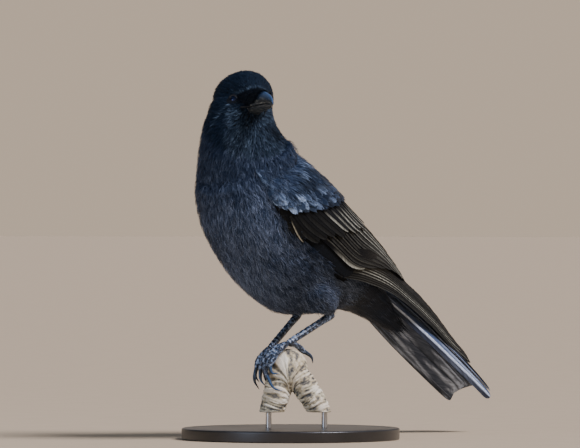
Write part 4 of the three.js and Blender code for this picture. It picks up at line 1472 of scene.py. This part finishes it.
def make_eye(name, material, lid):
    """The eyeball with its bulging cornea, and the lids round it."""
    rows, around = 40, 48
    tilt, turn = rings(np.linspace(0.0, 1, rows) ** 1.2 * math.pi, around)
    bulge = 0.55 * np.clip(1 - (tilt / 0.55) ** 2, 0, 1) ** 1.5
    points = eye_points(name, tilt, turn, EYE_RADIUS - 0.35 + bulge)
    iris = pairs(tilt / 1.2, turn / (2 * math.pi))
    add_mesh(f"eyeball_{name}", points, facing_out(points, [grid(rows, around, True)]), material,
             {"iris": iris}, [f"eye_{name}"])
    # Two lids meet in a ring with thick rolled margins.
    opening = math.asin(LID_OPENING / EYE_RADIUS)
    rows = 12
    part, turn = rings(np.linspace(0, 1, rows), around)
    corner = 0.10 * np.abs(np.cos(turn)) ** 6
    tilt = opening + corner + part * 0.5
    margin = 0.3125  # the share of each lid that rolls over
    rolled = np.sqrt(np.clip(1 - (1 - part / margin) ** 2, 0, 1))
    roll = 0.75 * np.where(part < margin, rolled, 1)
    wrinkle = 0.08 * np.sin(part * 40) * (part > 0.3)
    points = eye_points(name, tilt, turn, EYE_RADIUS - 0.45 + roll + wrinkle - 0.6 * part ** 2)
    fold = pairs(0.5 - 0.5 * ease(part, 0.1, 0.5), turn / (2 * math.pi))
    add_mesh(f"eyelids_{name}", points, [grid(rows, around, True)[:, ::-1]], lid, {"fold": fold})


UPPER_BILL = [
    [2, 0, -7.2, 7.6, 14.4, 0.5], [10, 0, -7.0, 7.8, 14.8, 0.5], [20, 0, -6.1, 7.0, 14.2, 0.4],
    [31, 0, -4.4, 5.7, 12.1, 0.4], [42, 0, -2.7, 4.3, 9.7, 0.5], [52, 0, -1.5, 3.0, 6.8, 0.8],
    [58.5, 0, -1.1, 1.6, 3.6, 1.3], [61.8, 0, -2.0, 0.3, 0.5, 0.5]]
LOWER_BILL = [
    [2, 0, -8.2, 7.2, 0.4, 5.6], [10, 0, -8.0, 7.4, 0.4, 5.8], [20, 0, -7.0, 6.6, 0.4, 4.9],
    [31, 0, -5.3, 5.2, 0.4, 4.4], [42, 0, -3.6, 3.8, 0.4, 4.5], [52, 0, -2.6, 2.4, 0.3, 3.5],
    [57, 0, -2.7, 0.3, 0.2, 0.3]]


def bill_point(stations, t, turn, grow):
    """A point on a half of the bill, whose cross-section narrows to a ridge: keeled, not round."""
    values = smooth(stations, t)
    c, s = np.cos(turn), np.sin(turn)
    upper = stations[0][4] > stations[0][5]
    keel = np.clip(s if upper else -s, 0, 1)
    half = (values[..., 3] + grow) * c * (1 - 0.24 * keel ** 2)
    reach = (np.where(s > 0, values[..., 4], values[..., 5]) + grow) * s
    return in_head(values[..., 0], half, values[..., 2] + reach)


def make_bill(name, stations, material):
    rows, around = 50, 44
    t, turn = rings(1 - (1 - np.linspace(0, 1, rows)) ** 1.25, around)
    # The cutting edge stands out as a fine lip, and growth lines ripple the horn.
    lip = 0.3 * np.exp(-(np.sin(turn) * 7) ** 2) * (1 - t)
    ripple = 0.06 * np.sin(t * 46 + 2 * np.sin(turn)) + 0.05 * np.sin(t * 17 + 3 * np.cos(turn))
    points = bill_point(stations, t, turn, lip + ripple).reshape(-1, 3)
    tip = bill_point(stations, np.array([1.0]), np.array([0.0]), 0.0).mean(axis=0)
    points = np.concatenate([points, np.stack([in_head(stations[0][0], 0, stations[0][2]), tip])])
    grain = np.concatenate([pairs(t, turn / (2 * math.pi)), [[0, 0], [1, 0]]])
    faces = facing_out(points, [grid(rows, around, True), end_fans(rows, around)])
    add_mesh(name, points, faces, material, {"grain": grain}, [name])


GAPE_FOLDS = {
    "corner": ([(22, 6.9, -6.3), (17.5, 8.2, -6.6), (13, 10.0, -7.0), (9, 12.2, -7.4), (5.5, 13.8, -8.0)],
               [0.3, 0.55, 0.75, 0.8, 0.3]),
    "jaw": ([(15.5, 8.8, -7.2), (17.2, 7.8, -8.8), (16, 7.3, -10.6), (12.5, 7.6, -12.6), (8, 8.6, -14.6)],
            [0.25, 0.4, 0.45, 0.45, 0.2]),
}


def make_gape(side, name, material):
    """The soft folds round the corner of the mouth: back along the cheek, and down round the jaw."""
    for fold_name, (line, sizes) in GAPE_FOLDS.items():
        stations = [[*in_head(ahead, side * left, up), size, size, size] for (ahead, left, up), size in
                    zip(line, sizes)]
        points, faces, grain = tube(stations, HEAD_LEFT * side, 44, 20)
        # The top of each fold is painted paler, as painted highlight.
        top = np.clip(np.cos((grain[:, 1] - 0.6) * 2 * math.pi), 0, 1)
        pale = 0.35 + 0.65 * top * ease(grain[:, 0], 0.1, 0.5)
        add_mesh(f"{fold_name}_{name}", points, faces, material,
                 {"fold": np.stack([pale, grain[:, 1]], axis=-1)})


def bristles(material):
    """Stiff nasal bristles that lie forward over the base of the bill, shortest at its sides."""
    heap = Heap()
    count = BRISTLES
    start = draw.uniform(0.06, 0.26, count)
    turn = math.pi / 2 + draw.uniform(-1.5, 1.5, count)
    side_on = np.abs(turn - math.pi / 2) / 1.5
    long = draw.uniform(11, 19, count) * (1 - 0.3 * side_on ** 2)
    rows = 7
    v = np.linspace(0, 1, rows)
    t = start[:, None] + v * long[:, None] / 60
    away = turn[:, None] + draw.normal(0, 0.12, (count, 1)) * v - 0.2 * np.cos(turn)[:, None] * -v
    lift = 0.3 + draw.uniform(0.2, 1.4, (count, 1)) * np.sin(v * math.pi * 0.6)
    centre = bill_point(UPPER_BILL, t, away, lift)
    spikes(heap, centre, np.broadcast_to(0.32 * (1 - v ** 1.5) + 0.03, (count, rows)), tone=(0.04, 0.15))
    heap.piece("nasal_bristles", material, "plumage")


def spikes(heap, centre, radius, tone):
    """Three-sided tapering spikes along rows of centres, shape (count, rows, 3)."""
    count, rows, _ = centre.shape
    way = unit(np.gradient(centre, axis=1))
    side = unit(np.cross(way, HEAD_UP + 0.01))
    up = np.cross(side, way)
    turn = np.arange(3) * 2 * math.pi / 3
    ring = (side[:, :, None] * np.cos(turn)[:, None] + up[:, :, None] * np.sin(turn)[:, None])
    points = centre[:, :, None] + ring * radius[:, :, None, None]
    quads = grid(rows, 3, True)
    faces = (quads[None] + (np.arange(count) * rows * 3)[:, None, None]).reshape(-1, 4)
    shade = np.broadcast_to(draw.uniform(0.3, 1.7, (count, 1, 1)) * tone[0], (count, rows, 3))
    along = np.broadcast_to(np.arange(rows)[None, :, None] * 2.0, (count, rows, 3))
    flat = draw.uniform(0.02, 0.98, (count, 1, 2)) + np.zeros((count, rows * 3, 2))
    local = pairs(*np.meshgrid(np.arange(rows) / rows, np.arange(3) / 3, indexing="ij"))
    heap.take(points.reshape(-1, 3), [faces],
              vane=pairs(0.3, along), tone=pairs(shade, tone[1]),
              OFBake=(flat + local * UNWRAP_PATCH).reshape(-1, 2))


# ---------------------------------------------------------------- legs and feet
TOE_RADII = [3, 2.6, 2.5, 2.3, 2.1]
# Where each foot's joint lies on the perch, as along, out and up, and each toe's pads and then its claw.
LEGS = {
    "left": {"side": 1, "joint": (7.8, 7.1, 6), "toes": {
        "inner": ([(0, 6, 3), (-8, 6, -3), (-15, 5, -12), (-16.5, 5, -19)], [(-16, 5, -25), (-12, 6, -31)]),
        "middle": ([(1, 11, 2), (-7, 12, -6), (-12, 13, -16), (-9, 14, -25)],
                   [(-5, 14.5, -32), (3, 14, -35)]),
        "outer": ([(3, 13, 3), (-2, 15.5, -3), (-7, 16.5, -11), (-8.5, 16, -15)],
                  [(-6, 16, -19.5), (0, 16, -20)]),
        "hind": ([(12, 2, 5.5), (18, -6, 2), (23, -12, -3)], [(28, -14, -6), (29.5, -14, -12)]),
    }},
    "right": {"side": -1, "joint": (-7.8, -7.1, 1.5), "toes": {
        "inner": ([(-11, -4, -1), (-17, -3, -8), (-20, -1, -16)], [(-20.5, 1, -22), (-17, 2, -28)]),
        "middle": ([(-12, -9, -2), (-18, -9, -9), (-20, -8, -18)], [(-21.5, -7, -26), (-17, -6, -34.5)]),
        "outer": ([(-11, -14, -3), (-14, -17, -11), (-13, -17, -20)], [(-11, -17.5, -27), (-6, -16, -31)]),
        "hind": ([(-4, -13, 1), (3, -18, -3), (7, -19.5, -10)], [(9, -19.5, -17), (8, -17.5, -22)]),
    }},
}


def limb_stations(points, radii):
    """Stations of a round limb, closed by round ends."""
    points = np.asarray(points, float)
    reach = [0.35 * radii[0] / np.linalg.norm(points[1] - points[0]),
             0.35 * radii[-1] / np.linalg.norm(points[-2] - points[-1])]
    near_start = points[0] + (points[1] - points[0]) * reach[0]
    near_end = points[-1] + (points[-2] - points[-1]) * reach[1]
    places = [points[0], near_start, *points[1:-1], near_end, points[-1]]
    sizes = [0.02, 0.75 * radii[0], *radii[1:-1], 0.75 * radii[-1], 0.02]
    return [[*place, size, size, size] for place, size in zip(places, sizes)]


def toe_shape(plates):
    """Overlapping plates along the top of a toe and soft pads under it."""
    def shape(t, turn):
        part = (t * plates) % 1
        top = np.clip(np.sin(turn), 0, 1) ** 0.7
        pad = np.clip(-np.sin(turn), 0, 1) * (0.35 * np.cos(t * 2 * math.pi * 3) + 0.1)
        return 0.35 * top * (part ** 1.5 - 0.4) + pad
    return shape


def make_leg(name, plan, scutes, horn):
    side = plan["side"]
    joint = on_perch(*plan["joint"])
    ankle = from_feet(side * 20, 48, 31)
    shank = [ankle, ankle + 0.3 * (joint - ankle), ankle + 0.7 * (joint - ankle), joint]
    front = unit(vec(0, -0.6, 0.8))
    ahead = unit(joint - ankle)
    stations = limb_stations(shank, [4.6, 3.2, 3.1, 3.7])
    across = np.cross(ahead, front)
    plates = 17

    def shank_shape(t, turn):
        part = (t * plates) % 1
        top = np.clip(np.sin(turn) + 0.25, 0, 1)
        return 0.32 * top * (part ** 1.5 - 0.4) - 0.25 * np.abs(np.cos(turn))
    points, faces, uv = tube(stations, across, 150, 28, shank_shape)
    scale = np.stack([uv[:, 0] * plates, np.clip(np.sin(uv[:, 1] * 2 * math.pi) + 0.35, 0, 1)], axis=-1)
    add_mesh(f"shank_{name}", points, faces, scutes, {"scale": scale}, [f"tarsus_{name}"])
    for toe, (pads, claw) in plan["toes"].items():
        line = [joint] + [on_perch(*pad) for pad in pads]
        middle_toe = np.mean(line, axis=0)
        away = unit(middle_toe - KNOB)
        ahead = unit(line[-1] - line[0])
        plates = 4 * len(pads) + 2
        points, faces, uv = tube(limb_stations(line, TOE_RADII[:len(line)]), np.cross(ahead, away), 90, 24,
                                 toe_shape(plates))
        scale = np.stack([uv[:, 0] * plates, np.clip(np.sin(uv[:, 1] * 2 * math.pi) + 0.3, 0, 1)], axis=-1)
        add_mesh(f"scaled_toe_{name}_{toe}", points, faces, scutes, {"scale": scale},
                 [f"toe_{name}_{toe}"])
        nail = [line[-1]] + [on_perch(*place) for place in claw]
        nail_line = smooth(np.array([line[-1] * 0.6 + line[-2] * 0.4, *nail[1:]]), np.linspace(0, 1, 6))
        sizes = smooth([2.0, 1.75, 1.3, 0.7, 0.12], np.linspace(0, 1, 6))
        stations = [[*place, size * 0.8, size, size] for place, size in zip(nail_line, sizes)]
        ahead = unit(nail_line[-1] - nail_line[0])
        points, faces, uv = tube(stations, np.cross(ahead, away), 40, 18)
        add_mesh(f"nail_{name}_{toe}", points, faces, horn, {"grain": uv}, [f"claw_{name}_{toe}"])


# ---------------------------------------------------------------- perch and stand
# The middle of the branch from the foot of its stem, over the bend, to the foot of its hook.
BRANCH_LINE = [(42, 0, -66), (33, 0, -49), (23, 0, -33), (13, 0, -17), (7, 0, -14), (1, 0, -18),
               (-1.5, 0, -36), (-6, 0, -52), (-12, 0, -66)]
SAWN_AT = 24  # how high the two cut ends of the branch are
GIRTH = 80  # mm round the branch in the bark's pattern


def value_noise(x, y, size_x, size_y, period_y=None):
    """Smooth random values, one for about each size_x by size_y, that may repeat round y."""
    x, y = x / size_x, y / size_y
    table = draw.random((64, 64))
    x0, y0 = np.floor(x).astype(int), np.floor(y).astype(int)
    u, v = [part * part * (3 - 2 * part) for part in (x - x0, y - y0)]
    wrap = int(round(period_y / size_y)) if period_y else 64
    a, b = y0 % wrap % 64, (y0 + 1) % wrap % 64
    near = table[x0 % 64, a] * (1 - v) + table[x0 % 64, b] * v
    far = table[(x0 + 1) % 64, a] * (1 - v) + table[(x0 + 1) % 64, b] * v
    return near * (1 - u) + far * u


def make_perch(material):
    """One skin of bark over the bend, the stem and the hook, with corky ridges across the grain."""
    wood = ["perch_knob", "perch_stem", "perch_hook"]
    points, quads, _, normals = closed_over("branch", [swollen(node, 0.5) for node in wood], 0.65, 16)
    line = smooth(np.array([on_perch(*place) for place in BRANCH_LINE]), np.linspace(0, 1, 90))
    length = length_along(line)
    along, round_it = np.zeros(len(points)), np.zeros(len(points))
    for some in np.array_split(np.arange(len(points)), 30):
        weight = weights_along(points[some], line, 5.0)
        along[some] = weight @ length
        arm = points[some] - weight @ line
        round_it[some] = np.arctan2(arm @ OUT, arm @ unit(ALONG + UP))
    turns = round_it / (2 * math.pi) * GIRTH
    wander = along + 3.0 * value_noise(along, turns, 9, 16, GIRTH)
    broad = value_noise(wander, turns, 1.7, 10, GIRTH)
    ridges = 0.55 * broad + 0.45 * value_noise(wander + 50, turns, 0.95, 5, GIRTH)
    patches = value_noise(along, turns, 8, 8, GIRTH)
    height = np.clip((ridges - 0.5) * (1.2 + 1.2 * patches) + 0.5, 0, 1)
    at_cut = ease(points[:, 2], SAWN_AT + 0.6, SAWN_AT + 2.5)
    lumps = 1.1 * (value_noise(along, turns, 14, 20, GIRTH) - 0.5)
    points = points + normals * ((0.95 * (height - 0.5) + lumps) * at_cut - 0.5)[:, None]
    points[:, 2] = np.maximum(points[:, 2], SAWN_AT)
    # The hook is paler than the stem.
    high = 0.25 + 0.5 * height * at_cut + 0.35 * (patches - 0.5) + 0.3 * (1 - at_cut)
    high = high + 0.06 * ease(along / length[-1], 0.62, 0.8)
    add_mesh("branch", points, [quads], material, {"relief": pairs(high, turns / GIRTH)}, wood)


def turned_piece(name, profile, centre, around, material, node):
    """A piece turned on a lathe from a profile of radius and height."""
    profile = np.asarray(profile, float)
    turn = np.linspace(0, 2 * math.pi, around, endpoint=False)
    points = np.stack([centre[0] + profile[:, :1] * np.cos(turn), centre[1] + profile[:, :1] * np.sin(turn),
                       np.broadcast_to(profile[:, 1:], (len(profile), around))], axis=-1).reshape(-1, 3)
    ends = np.array([[centre[0], centre[1], profile[0, 1]], [centre[0], centre[1], profile[-1, 1]]])
    rows = len(profile)
    faces = [grid(rows, around, True), end_fans(rows, around)]
    piece = add_mesh(name, np.concatenate([points, ends]), faces, material, {}, [node])
    sharp = piece.modifiers.new("crisp", "WEIGHTED_NORMAL")
    sharp.keep_sharp = True
    return piece


def make_stand(lacquer, steel):
    low, high = [np.array(corner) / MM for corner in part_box("stand_base")]
    radius, thick, round_edge = (high[0] - low[0]) / 2, high[2], 1.5
    corner = np.linspace(0, math.pi / 2, 9)
    profile = [(radius - 2, 0.0), (radius - 0.4, 0.3)]
    profile += [(radius, 1.0), (radius, thick - round_edge - 0.3)]
    side, top = radius - round_edge, thick - round_edge
    profile += [(side + round_edge * math.cos(a), top + round_edge * math.sin(a)) for a in corner]
    profile += [(radius - 8, thick), (radius - 8.6, thick - 0.5), (radius - 9.4, thick - 0.5),
                (radius - 10, thick)]
    turned_piece("base", profile, (0, 0), 160, lacquer, "stand_base")
    for node in ("stand_rod_1", "stand_rod_2"):
        low, high = [np.array(corner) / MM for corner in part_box(node)]
        centre = (low + high) / 2
        radius = (high[0] - low[0]) / 2
        bevel = 0.3
        profile = [(radius - bevel, low[2]), (radius, low[2] + bevel), (radius, high[2] - bevel),
                   (radius - bevel, high[2])]
        turned_piece(node.replace("stand_", ""), profile, centre, 40, steel, node)


# ---------------------------------------------------------------- studio
# The camera stands straight out from the perch.
FRAME_WIDTH = 504.3  # mm across the frame where the crow is
CAMERA_AWAY = 5000.0


def aim(seat, place, way):
    seat.location = Vector(place)
    seat.rotation_euler = Vector(way).to_track_quat("-Z", "Y").to_euler()
    bpy.context.scene.collection.objects.link(seat)


def lamp(name, kind, place, way, energy, colour, **settings):
    light = bpy.data.lights.new(name, kind)
    light.energy = energy
    light.color = linear(colour)[:3]
    for key, value in settings.items():
        setattr(light, key, value)
    aim(bpy.data.objects.new(name, light), place, way)


def make_studio():
    """A pale floor under a plain sky that darkens overhead, one broad soft key light and a weak fill."""
    mesh = bpy.data.meshes.new("floor")
    size = 60.0  # metres
    corners = [(-size, -size, 0), (size, -size, 0), (size, size, 0), (-size, size, 0)]
    mesh.from_pydata(corners, [], [(0, 1, 2, 3)])
    mesh.materials.append(floor_material())
    floor = bpy.data.objects.new("floor", mesh)
    bpy.context.scene.collection.objects.link(floor)
    world = bpy.data.worlds.new("studio")
    world.use_nodes = True
    tree = world.node_tree
    way = put(tree, "TexCoord", out="Generated")
    height = put(tree, "SeparateXYZ", {0: way}, out="Z")
    sky = put(tree, "ValToRGB", {"Fac": height},
              [(0.0, "#c6b39f"), (0.10, "#c6b39f"), (0.4, "#8d929b"), (1.0, "#46597a")])
    # A dark flag stands on one side, which gives the crow its round shape.
    from_side = put(tree, "VectorMath", {0: way, 1: tuple(ALONG)}, out="Value", operation="DOT_PRODUCT")
    flag = put(tree, "MapRange", {"Value": from_side, 1: -0.75, 2: -0.15, 3: 0.25, 4: 1.0})
    tree.links.new(sky, tree.nodes["Background"].inputs["Color"])
    tree.links.new(flag, tree.nodes["Background"].inputs["Strength"])
    bpy.context.scene.world = world
    key_from = OUT * 0.55 + ALONG * 0.75 + UP * 1.0
    lamp("key", "SUN", key_from, -key_from, 4.3, "#f3f1ff", angle=math.radians(24))
    fill_from = OUT * 1.5 - ALONG * 1.5 + UP * 0.5
    lamp("fill", "AREA", fill_from, vec(0, 0, 0.15) - fill_from, 16, "#cfe0ff", shape="DISK", size=1.2)


def make_camera():
    camera = bpy.data.cameras.new("camera")
    camera.sensor_width = 36
    camera.lens = 36 * CAMERA_AWAY / FRAME_WIDTH
    camera.clip_end = 200
    target = FEET + ALONG * 9.57 + UP * 109.6
    seat = bpy.data.objects.new("camera", camera)
    aim(seat, (target + OUT * CAMERA_AWAY) * MM, -OUT)
    bpy.context.scene.camera = seat


# ---------------------------------------------------------------- the whole
make_camera()
make_studio()
face, contour, covert, flight = head_feathers(), contour_feathers(), covert_feathers(), flight_feathers()
scutes, horn, lids, eyes = scute_material(), horn_material(), lid_material(), eye_material()
body_plumage(make_skin(skin_material()), face, contour)
for side_name, side_sign in (("left", 1), ("right", -1)):
    wing_coverts(side_sign, f"coverts_{side_name}", covert)
    make_wing(side_sign, side_name, flight)
    make_eye(side_name, eyes, lids)
    make_gape(side_sign, f"gape_{side_name}", lids)
make_tail(tail_feathers())
undertail_coverts(contour)
make_bill("bill_upper", UPPER_BILL, horn)
make_bill("bill_lower", LOWER_BILL, horn)
bristles(face)
for leg_name, leg_plan in LEGS.items():
    make_leg(leg_name, leg_plan, scutes, horn)
make_perch(bark_material())
make_stand(lacquer_material(), steel_material())
